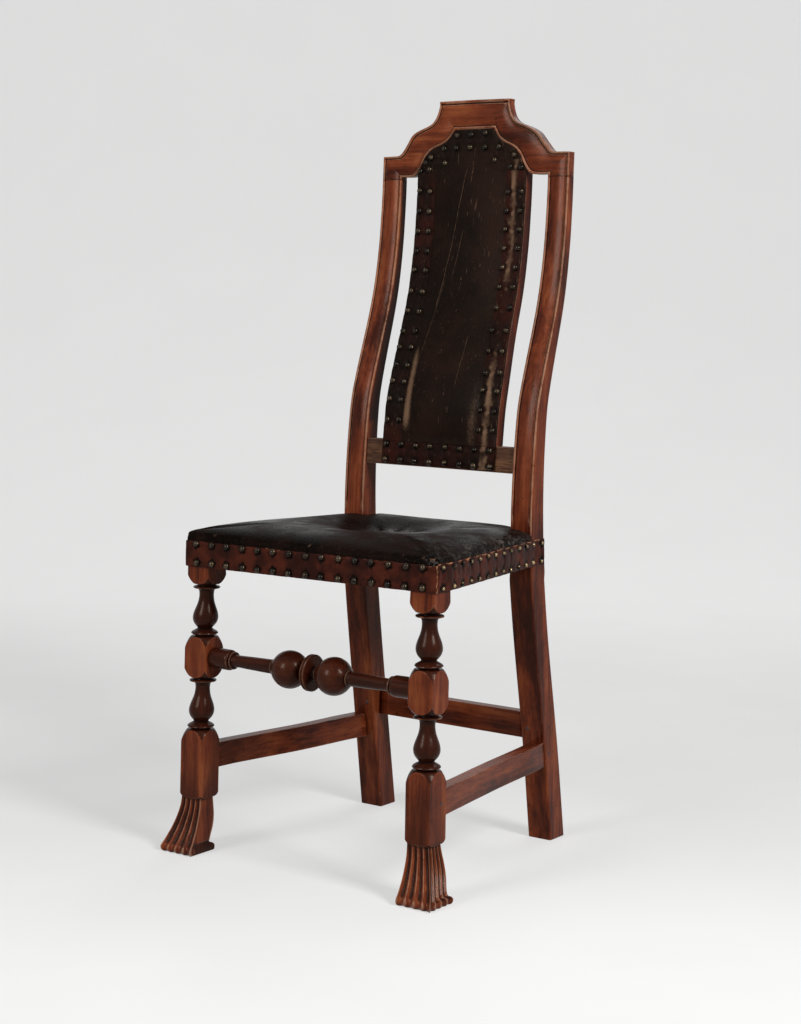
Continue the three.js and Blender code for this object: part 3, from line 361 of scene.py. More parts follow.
def settle(piece):
    """The real chair isn't true: its legs are stout and stray, and its back is drawn in."""
    outer = LEG_X + LEG_HALF
    for vertex in piece.data.vertices:
        x, y, z = in_mm(vertex.co)
        low = ease(RAIL_FOOT - 1, RAIL_FOOT - 13, z)
        stout = low * 0.065 * min(max(0, outer - abs(x)), 2 * LEG_HALF)
        stout *= ease(60, outer - 2 * LEG_HALF, abs(x)) * ease(90, 50, y)
        deeper = low * 0.065 * min(max(0, y), 2 * LEG_HALF) * ease(170, 50, y)
        if x < 0:
            front = -3.5 * ease(400, 300, z) - 4.5 * ease(300, 140, z) + ease(80, 0, z)
            rear = -3.8 * ease(RAIL_FOOT - 1, RAIL_FOOT - 27, z)
        else:
            front = 3.5 * ease(110, 0, z) - ease(330, 150, z)
            rear = 6 * ease(400, 100, z) - 3 * ease(RAIL_FOOT - 1, RAIL_FOOT - 27, z)
        stray = front * ease(300, 60, y) + rear * ease(200, 330, y)
        wider = 1.3 * low * (abs(x) - POST_X) / POST_HALF if y > 320 and abs(x) > 140 else 0
        draw_in = 7 * ease(680, 820, z) * ease(20, 95, x) * ease(141, 112, x)
        side = math.copysign(1, x)
        vertex.co.x += (side * (wider - stout) + stray * ease(30, 140, abs(x)) - draw_in) * MM
        vertex.co.y += deeper * ease(150, 187, abs(x)) * MM


def dress(piece, finish, nodes=()):
    """Gives a finished piece its material, its place on the chair and what it stands for."""
    settle(piece)
    piece.data.materials.clear()
    piece.data.materials.append(finish)
    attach(piece, "root")
    if nodes:
        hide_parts(*nodes)
    return piece


def dress_pair(right, finish):
    """Dresses a right piece and its mirror image; each stands for the node of its own side."""
    for piece in (right, twin(right, right.name.replace("right", "left"))):
        dress(piece, finish, [piece.name.removesuffix("_wood")])


# Materials
class Signal:
    """A shader value that can be used in plain arithmetic."""

    def __init__(self, nodes, socket):
        self.nodes, self.socket = nodes, socket

    def _maths(self, operation, first, second):
        return self.nodes.add("ShaderNodeMath", {"operation": operation}, {0: first, 1: second})

    def __add__(self, other):
        return self._maths("ADD", self, other)

    def __sub__(self, other):
        return self._maths("SUBTRACT", self, other)

    def __rsub__(self, other):
        return self._maths("SUBTRACT", other, self)

    def __mul__(self, other):
        return self._maths("MULTIPLY", self, other)

    __radd__, __rmul__ = __add__, __mul__

    def between(self, low, high):
        """0 below low, 1 above high, and eased from one to the other."""
        return self.nodes.add(
            "ShaderNodeMapRange", {"interpolation_type": "SMOOTHSTEP"},
            {"Value": self, "From Min": low, "From Max": high})


class Nodes:
    """The nodes of a material or of the world, and the one way to add to them."""

    def __init__(self, owner, output):
        owner.use_nodes = True
        self.tree = owner.node_tree
        self.tree.nodes.clear()
        self.output = self.tree.nodes.new(output)

    def fill(self, node, sockets):
        for key, value in sockets.items():
            if isinstance(value, Signal):
                self.tree.links.new(value.socket, node.inputs[key])
            else:
                node.inputs[key].default_value = value

    def add(self, kind, settings=None, sockets=None, out=0):
        node = self.tree.nodes.new(kind)
        for key, value in (settings or {}).items():
            setattr(node, key, value)
        self.fill(node, sockets or {})
        return Signal(self, node.outputs[out])

    def show(self, kind, sockets):
        """Adds the shader that everything else leads to."""
        self.tree.links.new(self.add(kind, None, sockets).socket, self.output.inputs[0])

    def seen(self):
        """1 to the eye, to what mirrors and to what lets light through; 0 to plain light."""
        camera = self.add("ShaderNodeLightPath", out="Is Camera Ray")
        rays = camera.socket.node.outputs
        return (camera + Signal(self, rays["Is Glossy Ray"])
                + Signal(self, rays["Is Transmission Ray"]))


class Finish(Nodes):
    """A material, and the patterns that it is made from."""

    def __init__(self, name):
        self.material = bpy.data.materials.new(name)
        super().__init__(self.material, "ShaderNodeOutputMaterial")
        self.place = self.add("ShaderNodeTexCoord", out="Object")

    def axes(self):
        parts = self.add("ShaderNodeSeparateXYZ", None, {0: self.place}).socket.node.outputs
        return [Signal(self, part) for part in parts]

    def stretched(self, x, y, z, turn=(0, 0, 0)):
        return self.add("ShaderNodeMapping", None,
                        {"Vector": self.place, "Scale": (x, y, z), "Rotation": turn})

    def cloud(self, scale, detail=4, rough=0.55, vector=None, bend=0):
        return self.add("ShaderNodeTexNoise", None, {
            "Vector": vector or self.place, "Scale": scale, "Detail": detail,
            "Roughness": rough, "Distortion": bend})

    def cells(self, scale, vector=None, feature="DISTANCE_TO_EDGE"):
        return self.add("ShaderNodeTexVoronoi", {"feature": feature},
                        {"Vector": vector or self.place, "Scale": scale})

    def mark(self, name="wear"):
        return self.add("ShaderNodeAttribute", {"attribute_name": name}, out="Fac")

    def mix(self, factor, first, second, blend="MIX"):
        def colour(value):
            return value if isinstance(value, Signal) else (*value, 1)

        return self.add(
            "ShaderNodeMix", {"data_type": "RGBA", "blend_type": blend, "clamp_result": True},
            {0: factor, 6: colour(first), 7: colour(second)}, out=2)

    def bump(self, height, distance, strength=1):
        return self.add("ShaderNodeBump", None,
                        {"Height": height, "Distance": distance * MM, "Strength": strength})

    def surface(self, **sockets):
        self.show("ShaderNodeBsdfPrincipled",
                  {key.replace("_", " "): value for key, value in sockets.items()})
        return self.material


FINISHES = {}


def finish_once(make):
    """Each finish is made the first time that a piece asks for it."""
    def ask(*words):
        key = (make.__name__, *words)
        if key not in FINISHES:
            FINISHES[key] = make(*words)
        return FINISHES[key]

    return ask


GRAINS = {"upright": (1, 1, 0.07), "across": (0.07, 1, 1), "deep": (1, 0.07, 1)}


@finish_once
def maple(grain):
    """Stained and varnished maple: dark in the quirks with old polish and painted shade, and
    painted shade on faces in shadow; rubbed pale on the arrises, in part a painted highlight.
    """
    look = bpy.context.scene.chair_wood
    wood = Finish(f"maple_{grain}")
    lengthways = wood.stretched(*GRAINS[grain])
    figure = wood.cloud(38, 5, 0.55, lengthways, 0.6)
    streak = wood.cloud(190, 4, 0.6, lengthways, 0.3)
    pores = wood.cloud(900, 2, 0.5, lengthways).between(0.58, 0.72)
    patch = wood.cloud(11, 4, 0.6)
    mottle = wood.cloud(34, 6, 0.75)
    tone = figure * 0.55 + streak * 0.3 + patch * 0.35
    colour = wood.mix(tone.between(0.46, 0.66), look.deep, look.body)
    colour = wood.mix(tone.between(0.6, 0.8) * 0.85, colour, look.light)
    colour = wood.mix(pores * 0.45, colour, look.dark)
    wear = wood.mark()
    # The stain also carries painted shade where the leg's block meets the foot.
    dark_stain_and_shade = wood.mark("stain") * (patch * 0.7 + 0.55)
    colour = wood.mix(dark_stain_and_shade, colour, look.stained)
    # Old polish in quirks and joints, and painted shade in the quirks and on faces in shadow.
    dirt_and_shade = (wear * -1).between(0.05, 0.6)
    colour = wood.mix(dirt_and_shade * 0.9, colour, look.dark)
    # Pale rubbed arrises: real wear, and in part a painted highlight.
    worn = (wear * 0.55 - mottle * 1.6 + 0.3).between(-0.05, 0.55)
    colour = wood.mix(worn * (1 - wood.mark("stain") * 0.75) * 0.6, colour, look.worn)
    dents = wood.cloud(70, 2, 0.4).between(0.7, 0.76)
    colour = wood.mix(dents * 0.5, colour, look.dark)
    height = streak * 0.25 - pores * 0.35 + wood.cloud(26, 2, 0.4) * 2.4 - dents * 0.5
    return wood.surface(
        Base_Color=colour, Roughness=patch * 0.14 + streak * 0.12 + dirt_and_shade * 0.2 + 0.15,
        Coat_Weight=0.05, Coat_Roughness=0.12, Specular_IOR_Level=0.09,
        Specular_Tint=(1, 0.74, 0.56, 1),
        Normal=wood.bump(height, 0.35, 0.5))


@finish_once
def oak(grain, stain=""):
    """Oak with open grain, oiled or stained to go with the maple."""
    look = bpy.context.scene.chair_wood
    wood = Finish(f"oak_{grain}{stain}")
    lengthways = wood.stretched(*GRAINS[grain])
    figure = wood.cloud(70, 5, 0.6, lengthways, 0.5)
    pores = wood.cloud(620, 3, 0.6, lengthways).between(0.5, 0.64)
    tone = figure * 0.8 + wood.cloud(14, 3, 0.5) * 0.3
    pale, shade = (look.body, look.deep) if stain else (look.oak, look.oak_dark)
    colour = wood.mix(tone.between(0.4, 0.75), shade, pale)
    # Dark joints and quirks, and painted shade on a stile's inner face.
    colour = wood.mix((wood.mark() * -1).between(0.05, 0.5) * 0.9, colour, look.dark)
    colour = wood.mix(pores * 0.7, colour, look.dark)
    worn = (wood.mark() * 0.55 - wood.cloud(34, 6, 0.75) * 1.5 + 0.3).between(-0.1, 0.5)
    colour = wood.mix(worn * 0.4, colour, look.worn)
    return wood.surface(
        Base_Color=colour, Roughness=figure * 0.2 + 0.45, Specular_IOR_Level=0.12,
        Normal=wood.bump(figure * 0.4 - pores, 0.3, 0.6))


@finish_once
def peg_wood():
    """End grain of a peg, nearly black with age."""
    look = bpy.context.scene.chair_wood
    wood = Finish("peg_end_grain")
    rings = wood.cells(420, feature="F1")
    colour = wood.mix(rings.between(0.1, 0.7), look.dark, look.deep)
    return wood.surface(Base_Color=colour, Roughness=rings * 0.2 + 0.4,
                        Normal=wood.bump(rings, 0.2, 0.5))


@finish_once
def seat_hide():
    """Black leather of the seat, polished by use and finely creased."""
    look = bpy.context.scene.chair_leather
    hide = Finish("black_leather_seat")
    creases = hide.cells(95, hide.stretched(1, 0.45, 1, (0, 0, 0.5)))
    grain = hide.cells(620)
    cloudy = hide.cloud(13, 5, 0.6)
    fine = hide.cloud(240, 5, 0.65)
    colour = hide.mix(cloudy.between(0.4, 0.75) * 0.4, look.pitch, look.black_brown)
    # Painted shade in the dimple, where the mark is below 0.
    colour = hide.mix((hide.mark() * -1).between(0, 0.6), colour, look.pitch)
    worn = (hide.mark() - fine * 0.6).between(0.05, 0.55)
    colour = hide.mix(worn * 0.8, colour, look.rubbed)
    crackle = 1 - hide.cells(150, hide.stretched(1, 0.6, 1)).between(0.02, 0.2)
    crazed = crackle * hide.mark("crazing") * hide.cloud(70, 3, 0.7).between(0.42, 0.6)
    colour = hide.mix(crazed, colour, look.crazed)
    scuff = hide.cloud(520, 3, 0.7).between(0.62, 0.7)
    colour = hide.mix(scuff * 0.28, colour, look.rubbed)
    height = creases.between(0, 0.06) * 0.5 + grain.between(0, 0.3) * 0.25
    height = height + cloudy * 1.2 + fine * 0.3
    return hide.surface(
        Base_Color=colour, Roughness=cloudy.between(0.35, 0.65) * 0.3 + fine * 0.15 + 0.12,
        Specular_IOR_Level=0.015, Specular_Tint=(1, 0.95, 0.92, 1),
        Normal=hide.bump(height, 0.5, 0.55))


# Long scratches in the back: start and end as x and z, and width.
SCRATCHES = [
    ((-9, 1063), (-45, 828), 0.5), ((-8, 960), (-22, 872), 0.35), ((14, 1010), (11, 985), 1.2),
    ((-34, 880), (-62, 720), 0.3), ((30, 790), (22, 700), 0.3), ((2, 1075), (0, 1030), 0.6),
]


def scored(hide, start, end, width):
    """1 on a scratch between two places on the back, and 0 elsewhere."""
    (x0, z0), (x1, z1) = start, end
    slope = (x1 - x0) / (z1 - z0)
    x, _, height = hide.axes()
    off = x - (height * slope + (x0 - slope * z0) * MM) + (hide.cloud(30, 2) - 0.5) * 0.003
    across = hide.add("ShaderNodeMath", {"operation": "ABSOLUTE"}, {0: off})
    inside = 1 - across.between(width * 0.4 * MM, width * 1.3 * MM)
    span = height.between(z1 * MM, (z1 + 12) * MM) * (1 - height.between((z0 - 12) * MM, z0 * MM))
    return inside * span * hide.cloud(160, 3, 0.7).between(0.3, 0.6)


@finish_once
def back_hide(part):
    """Leather of the back, crazed and scratched along its height; its borders are redder."""
    look = bpy.context.scene.chair_leather
    hide = Finish(f"back_leather_{part}")
    upright = hide.stretched(1, 1, 0.12)
    streak = hide.cloud(150, 5, 0.7, upright)
    scratch = hide.cloud(420, 3, 0.6, hide.stretched(1, 1, 0.05, (0, 0.1, 0))).between(0.66, 0.71)
    crack = hide.cells(210, hide.stretched(1, 1, 0.3))
    patch = hide.cloud(9, 5, 0.6)
    fine = hide.cloud(260, 5, 0.65)
    colour = hide.mix(patch.between(0.42, 0.72) * 0.55 + streak.between(0.5, 0.8) * 0.3,
                      look.black, look.border if part == "border" else look.black_brown)
    # Painted shadow round the border nails, where the mark is below 0.
    colour = hide.mix((hide.mark() * -1).between(0.02, 0.5), colour, look.pitch)
    worn = (hide.mark() - fine * 0.5 - streak * 0.25).between(0.0, 0.7)
    colour = hide.mix(worn * 0.8, colour, look.rubbed)
    colour = hide.mix(scratch * 0.3, colour, look.rubbed)
    if part == "panel":
        for start, end, width in SCRATCHES:
            colour = hide.mix(scored(hide, start, end, width) * 0.45, colour, look.rubbed)
    height = streak * 0.6 + crack.between(0, 0.08) * 0.4 - scratch * 0.4
    height = height + patch * 1.5 + fine * 0.3
    return hide.surface(
        Base_Color=colour, Roughness=streak * 0.25 + patch * 0.25 + 0.16,
        Specular_IOR_Level=0.035, Specular_Tint=(1, 0.84, 0.74, 1),
        Normal=hide.bump(height, 0.4, 0.6))


@finish_once
def band_hide():
    """Red-brown leather of the nailed bands, bared at its cut edges."""
    look = bpy.context.scene.chair_leather
    hide = Finish("brown_leather_bands")
    patch = hide.cloud(26, 5, 0.62)
    fine = hide.cloud(330, 5, 0.65)
    grain = hide.cells(560)
    colour = hide.mix(patch.between(0.4, 0.68), look.band_dark, look.band)
    # Painted shadow round the nails and along the drawn-in lines, where the mark is below 0.
    colour = hide.mix((hide.mark() * -1).between(0.02, 0.5), colour, look.pitch)
    worn = (hide.mark() - fine * 0.62).between(0.05, 0.5)
    colour = hide.mix(worn * 0.85, colour, look.tan)
    bare = (hide.mark() - hide.cloud(120, 5, 0.7) * 0.9).between(0.42, 0.62)
    colour = hide.mix(bare * 0.9, colour, look.bare)
    height = patch * 1.2 + grain.between(0, 0.3) * 0.3 + fine * 0.5
    return hide.surface(
        Base_Color=colour, Roughness=patch * 0.2 + fine * 0.15 + 0.2,
        Specular_IOR_Level=0.035, Specular_Tint=(1, 0.84, 0.72, 1),
        Normal=hide.bump(height, 0.4, 0.6))


@finish_once
def nail_brass(row):
    """Brass gone dark; the small nails of the seat's sides get paler brass, a painted highlight of
    the light on that side.
    """
    look = bpy.context.scene.chair_nails
    brass = Finish(f"nail_brass_{row}")
    patch = brass.cloud(90, 3, 0.5)
    # Painted highlight: the side nails' paler crown stands in for the light they catch.
    crown = look.bright if row == "side" else look.brass
    colour = brass.mix(patch.between(0.4, 0.64), look.dark, crown)
    return brass.surface(Base_Color=colour, Metallic=patch.between(0.2, 0.45) * 0.2 + 0.35,
                         Roughness=patch * 0.14 + 0.14, Specular_IOR_Level=0.22,
                         Normal=brass.bump(patch, 0.1, 0.2))


@finish_once
def woven(name, pitch, slot):
    """Plain weave with slubs, for the linen, the sackcloth and the webbing."""
    look = bpy.context.scene.chair_cloth
    cloth = Finish(name)
    count = 2 * math.pi / (pitch * MM)
    bend = cloth.cloud(60, 3, 0.5)
    x, y, z = cloth.axes()

    def wave(signal):
        return cloth.add("ShaderNodeMath", {"operation": "SINE"}, {0: signal * count + bend * 2})

    threads = wave(x) * wave(y + z) * 0.5 + 0.5
    slub = cloth.cloud(45, 4, 0.6)
    colour = cloth.mix(threads, getattr(look, slot + "_dark"), getattr(look, slot))
    colour = cloth.mix(slub.between(0.5, 0.8) * 0.4, colour, getattr(look, slot + "_dark"))
    return cloth.surface(Base_Color=colour, Roughness=slub * 0.1 + 0.85, Sheen_Weight=0.2,
                         Normal=cloth.bump(threads + slub * 0.3, 0.4, 0.8))


# Length of the paper, and how far it reaches in front of the chair, in metres.
PAPER_LENGTH, PAPER_FRONT = 18, 7


@finish_once
def studio_floor():
    """Pale seamless paper: it keeps the chair's shadow and glows to the eye at a set tone, with a
    painted shadow band behind the chair and painted dimming where the lamps light it.
    """
    look = bpy.context.scene.chair_stage
    paper = Finish("studio_paper")
    grain = paper.cloud(3, 3, 0.5)
    parts = paper.add("ShaderNodeSeparateXYZ", None,
                      {0: paper.add("ShaderNodeTexCoord", out="UV")}, out="Y")
    run = parts * PAPER_LENGTH - PAPER_FRONT
    # Painted light on the paper: darker in a band behind the chair, a painted shadow, and lighter
    # again further back.
    tone = 0.92 - run.between(-0.6, 0.1) * 0.17 + run.between(1, 2.8) * 0.22
    # Painted shade dims the paper in front of the chair, where the lamps light it; it is a little
    # lighter still further to the front.
    painted_dim_under_lamps = run.between(-3.1, -2.3) * (1 - run.between(-2, -0.9))
    tone = tone - painted_dim_under_lamps * 0.45 + (1 - run.between(-4, -3)) * 0.08
    return paper.surface(
        Base_Color=paper.mix(grain.between(0.3, 0.7), look.paper_shade, look.paper),
        Emission_Color=paper.mix(paper.seen() * tone, (0, 0, 0), (1, 1, 1)),
        Emission_Strength=look.glow, Roughness=0.9, Specular_IOR_Level=0.1)


# Sizes and colours that a user would change.
def colour_of(label, about, value):
    return bpy.props.FloatVectorProperty(
        name=label, description=about, subtype="COLOR", size=3, min=0, max=1,
        default=tint(*value))


def length_of(label, about, value, low, high):
    return bpy.props.FloatProperty(
        name=label, description=about, subtype="DISTANCE", unit="LENGTH", default=value * MM,
        min=low * MM, max=high * MM)


def amount_of(label, about, value, high):
    return bpy.props.FloatProperty(
        name=label, description=about, default=value, min=0, max=high)


def power_of(label, about, value):
    return bpy.props.FloatProperty(
        name=label, description=about, unit="POWER", default=value, min=0, max=2000)


class ChairWood(bpy.types.PropertyGroup):
    body: colour_of("Body", "Stained maple in plain light", (108, 48, 27))
    light: colour_of("Light figure", "Palest streaks of the figure", (146, 80, 45))
    deep: colour_of("Deep figure", "Darkest streaks of the figure", (56, 20, 12))
    # Also used for the painted shade where the leg's block meets the foot.
    stained: colour_of("Turned wood", "Deeper stain on what is turned", (34, 12, 7))
    # Also the painted shade in the quirks and on faces in shadow.
    dark: colour_of("Recess", "Old polish in the quirks and pores", (20, 8, 6))
    # Partly real wear, partly a painted highlight along the rounded arrises.
    worn: colour_of("Rubbed arris", "Wood bared along the arrises", (170, 128, 102))
    oak: colour_of("Oak", "Oak of the rails", (112, 76, 52))
    oak_dark: colour_of("Oak shade", "Darker figure of the oak", (66, 40, 28))
    arris: length_of("Arris", "How far the arrises are eased", 0.9, 0.2, 2)


class ChairLeather(bpy.types.PropertyGroup):
    black: colour_of("Black", "Leather of the seat and the back", (19, 12, 9))
    # Painted shade: the ring round each nail, the drawn-in lines of the bands and the seat's
    # dimple; also the seat's own black.
    pitch: colour_of("Pitch", "Old wax round the nails and in the hollows", (8, 5, 4))
    black_brown: colour_of("Black-brown", "Leather where its black has thinned", (46, 27, 20))
    border: colour_of("Border", "Redder leather along the edges of the back", (66, 27, 21))
    rubbed: colour_of("Rubbed", "Leather rubbed through beside the nails", (132, 102, 80))
    crazed: colour_of("Crazing", "Pale cracks where the seat is creased", (150, 140, 132))
    tan: colour_of("Tan", "Scratches and creases of the bands", (150, 104, 76))
    bare: colour_of("Bare edge", "Raw cut edge of the bands", (206, 132, 88))
    band: colour_of("Band", "Leather of the nailed bands", (76, 35, 25))
    band_dark: colour_of("Band shade", "Dark patches of the bands", (44, 21, 17))
    pucker: length_of("Pucker", "How deep a nail draws the leather in", 0.9, 0, 3)


class ChairNails(bpy.types.PropertyGroup):
    brass: colour_of("Brass", "Rubbed crown of a nail", (70, 58, 44))
    # Painted highlight: paler brass for the small side nails, which catch the light.
    bright: colour_of("Bright brass", "Small nails at the seat's sides", (176, 150, 112))
    dark: colour_of("Tarnish", "Tarnish round a nail", (24, 18, 13))
    radius: length_of("Radius", "Radius of a nail's head", 5, 2, 8)
    rise: length_of("Rise", "Height of a nail's dome", 3.4, 1, 6)


class ChairCloth(bpy.types.PropertyGroup):
    linen: colour_of("Linen", "Linen behind the back", (176, 156, 122))
    linen_dark: colour_of("Linen shade", "Between the threads of the linen", (104, 86, 62))
    hemp: colour_of("Webbing", "Hemp of the seat's webs", (160, 134, 96))
    hemp_dark: colour_of("Webbing shade", "Between the threads of the webs", (88, 68, 46))


class ChairStage(bpy.types.PropertyGroup):
    paper: colour_of("Paper", "Seamless paper under the chair", (160, 160, 159))
    paper_shade: colour_of("Paper shade", "Faint unevenness of the paper", (156, 156, 155))
    wall: colour_of("Wall", "What is seen past the paper", (213, 213, 212))
    glow: amount_of("Paper glow", "Light that the paper adds to what the camera sees", 0.62, 1)
    key: power_of("Key light", "Power of the large front light", 130)
    fill: power_of("Fill light", "Power of the side light", 80)
    top: power_of("Top light", "Power of the light above the back", 26)
    air: amount_of("Ambient", "Strength of the even light", 0.12, 3)


# Woodwork
def post_ring(z):
    front, deep = front_y(z), post_depth(z)
    back = front + deep
    outer, inner = POST_X + POST_HALF, POST_X - POST_HALF
    cut = ease(MOULD_START, MOULD_START + MOULD_RUN, z)

    def eased(share):
        near = min(share, 1 - share) * POST_HALF * 2
        return 0 if near >= 2 else 2 - math.sqrt(max(0, 4 - (2 - near) ** 2))

    ring = [(outer - t * POST_HALF * 2, front + cut * p * MOULD_DEPTH + (1 - cut) * eased(t))
            for t, p in MOULDING]
    ring += [(inner, front + 4.5), (inner, (front + back) / 2), (inner, back - 3.4),
             (inner, back - 1.8), (inner + 0.5, back - 0.5), (inner + 1.8, back),
             (inner + 3.4, back), (POST_X, back), (outer - 3.4, back), (outer - 1.8, back),
             (outer - 0.5, back - 0.5), (outer, back - 1.8), (outer, back - 3.4),
             (outer, (front + back) / 2), (outer, front + 4.5)]
    return [at(x, y, z) for x, y in ring]


def make_rear_posts():
    levels = [0, 0.7, 2.5] + spread(12, POST_TOP - 6, 88) + [POST_TOP - 2, POST_TOP]
    rings = [post_ring(z) for z in levels]
    rings[0] = drawn_in(rings[0], 0.97)
    right = draw_out("right_rear_post_wood", rings)

    def joint_or_painted_shade(place):
        """Old polish lies in the joint; painted shade darkens the inner face beside the back."""
        beside_back = place.z > 640 and abs(place.x) < POST_X - POST_HALF + 0.6
        return place.z > POST_TOP - 0.8 or (beside_back and place.y > front_y(place.z) + 4)

    mark_wear_and_shade(right, joints=joint_or_painted_shade,
              rubbed=lambda place: 0.7 + 0.8 * ease(470, 500, place.z))
    soften(right, 50)
    dress_pair(right, maple("upright"))


def crest_line(table, step):
    """Point of a crest outline at a whole or part station, in x and z."""
    k = int(min(step, len(table) - 1.001))
    s = step - k

    def place(row):
        return row[0] * (POST_X + POST_HALF), POST_TOP + row[1] * CREST_RISE

    if s < 1e-6:
        return place(table[k])
    here, there = place(table[k]), place(table[k + 1])
    if not 1 <= k <= 16:
        return tuple(a + (b - a) * s for a, b in zip(here, there))
    before = place(table[k - 1]) if k > 2 else here
    after = place(table[k + 2]) if k < 16 else there

    return tuple(curve(s, here[i], there[i], (there[i] - before[i]) / 2, (after[i] - here[i]) / 2)
                 for i in (0, 1))


def crest_ring(step, sign):
    ox, oz = crest_line(CREST_OUTER, step)
    ix, iz = crest_line(CREST_INNER, step)
    wide = math.hypot(ox - ix, oz - iz)

    def place(t, p):
        x, z = ox + (ix - ox) * t, oz + (iz - oz) * t
        return at(sign * x, front_y(z) + p, max(z, POST_TOP + FIT))

    edge = 1.8 / wide
    return ([place(t, p * MOULD_DEPTH) for t, p in MOULDING]
            + [place(1, 4.5), place(1, CREST_THICK / 2 + 2), place(1, CREST_THICK - 1.6),
               place(1 - edge / 3, CREST_THICK - 0.5), place(1 - edge, CREST_THICK),
               place(1 - edge * 2, CREST_THICK), place(0.5, CREST_THICK),
               place(edge * 2, CREST_THICK), place(edge, CREST_THICK),
               place(edge / 3, CREST_THICK - 0.5), place(0, CREST_THICK - 1.6),
               place(0, CREST_THICK / 2 + 2), place(0, 4.5)])


def arch_half(z):
    """Half width inside the crest's arch at a height."""
    low = POST_TOP + CREST_INNER[4][1] * CREST_RISE
    rows = sorted((POST_TOP + share * CREST_RISE, x * (POST_X + POST_HALF))
                  for x, share in CREST_INNER[4:18])
    return smooth(rows, max(low, z))


def make_crest_rail():
    steps = [0, 0.03, 0.4, 0.8, 0.97, 1, 1.04]
    steps += [1 + k / 4 for k in range(1, 65)]
    steps += [17.3, 17.8, 18.3, 18.8, 19]
    rings = [crest_ring(s, 1) for s in steps] + [crest_ring(s, -1) for s in steps[-2::-1]]
    moulding = draw_out("crest_moulding", rings)
    plate = []
    rear = CREST_THICK - 0.6
    for z in spread(BOARD_FOOT, ARCH_TOP + 3, 18):
        reach, y = arch_half(z) + 3, front_y(z)
        edges = [(-reach, SET_BACK), (0, SET_BACK), (reach, SET_BACK), (reach, 10), (reach, rear),
                 (0, rear), (-reach, rear), (-reach, 10)]
        plate.append([at(x, y + deep, z) for x, deep in edges])
    board = draw_out("crest_board", plate)
    mark_wear_and_shade(moulding, joints=lambda place: place.z < POST_TOP + 0.8 and abs(place.x) > 140,
              rubbed=lambda place: 1.5)
    mark_wear_and_shade(board, rubbed=lambda place: 0)
    piece = joined([moulding, board], "crest_rail_wood")
    soften(piece, 45)
    dress(piece, maple("across"), ["crest_rail"])


BALUSTER = [
    (0, 0.7), (0.02, 0.66), (0.034, 0.7), (0.044, 0.9), (0.056, 0.985), (0.07, 0.985),
    (0.084, 0.93), (0.094, 0.74), (0.106, 0.62), (0.13, 0.565), (0.18, 0.535), (0.24, 0.535),
    (0.31, 0.57), (0.38, 0.635), (0.46, 0.75), (0.54, 0.86), (0.6, 0.915), (0.65, 0.93),
    (0.7, 0.905), (0.75, 0.83), (0.795, 0.71), (0.83, 0.59), (0.848, 0.54), (0.862, 0.545),
    (0.876, 0.62), (0.892, 0.74), (0.91, 0.86), (0.927, 0.95), (0.942, 0.985), (0.956, 0.98),
    (0.966, 0.92), (0.975, 0.78), (0.985, 0.69), (1, 0.68),
]
SHOULDER = [(0.03, 0.96), (0.07, 1.01), (0.14, 1.06), (0.24, 1.12), (0.37, 1.19), (0.52, 1.255),
            (0.7, 1.32), (0.86, 1.37), (1, 1.395)]


def leg_outline():
    def vase(foot, top):
        rows = [(t, smooth(BALUSTER, t)) for t in spread(1, 0, 64)]
        return [(r * LEG_HALF, foot + (1 - t) * (top - foot)) for t, r in rows]

    def shoulder_up(foot):
        return [(r * LEG_HALF, foot + t * 14) for t, r in SHOULDER]

    def shoulder_down(top):
        return [(r * LEG_HALF, top - t * 19) for t, r in reversed(SHOULDER)]

    wide = 1.395 * LEG_HALF
    return ([(0, FOOT_TOP), (22.4, FOOT_TOP), (25.2, FOOT_TOP + 1.6), (wide, FOOT_TOP + 5)]
            + shoulder_down(LOW_BLOCK) + vase(LOW_BLOCK, MID_FOOT) + shoulder_up(MID_FOOT)
            + shoulder_down(MID_TOP) + vase(MID_TOP, TOP_BLOCK) + shoulder_up(TOP_BLOCK)
            + [(wide, LEG_TOP - 0.2), (0, LEG_TOP - 0.2)])


# Carved foot: share of its height, forward throw, outward throw, undercut behind, rib depth.
FOOT = [
    (0, 0.86, 0.86, 0.46, 0.9), (0.04, 0.97, 0.97, 0.42, 1), (0.09, 1, 1, 0.42, 1),
    (0.13, 0.95, 0.96, 0.55, 1), (0.17, 0.86, 0.9, 0.95, 1), (0.22, 0.76, 0.82, 0.97, 1),
    (0.3, 0.63, 0.69, 0.84, 1), (0.41, 0.46, 0.52, 0.6, 1), (0.52, 0.32, 0.37, 0.46, 1),
    (0.65, 0.18, 0.22, 0.4, 0.95), (0.8, 0.06, 0.09, 0.44, 0.85), (1, 0, 0, 0.55, 0.5),
]


def foot_ring(share):
    forward, outward, under, rib = (
        smooth([(row[0], row[k]) for row in FOOT], share) for k in (1, 2, 3, 4))
    z = share * (FOOT_TOP + 3)
    near = 2.5 * (1 - forward) - 24 * forward
    right = LEG_X + LEG_HALF - 2.5 * (1 - outward) + 17 * outward
    left = LEG_X - LEG_HALF + 2.5 * (1 - outward)
    far = LEG_HALF * 2 - 18 * under
    notch = 2.6 * bell(share - 0.165, 0.03)

    def flute(k):
        return 3.0 * rib * (0.5 - 0.5 * math.cos(2 * math.pi * (k % 10) / 10)) ** 0.85

    ring = [(left + (right - left) * k / 40, near + flute(k)) for k in range(41)]
    ring += [(right - flute(k), near + (far - near) * k / 40) for k in range(1, 41)]
    ring += [(right + (left - right) * k / 8, far + 0.6 * math.sin(math.pi * k / 8))
             for k in range(1, 8)]
    ring += [(left + notch * min(1, 1.2 - k / 10), far + (near - far) * k / 12)
             for k in range(12)]
    return [at(x, y, z) for x, y in ring]


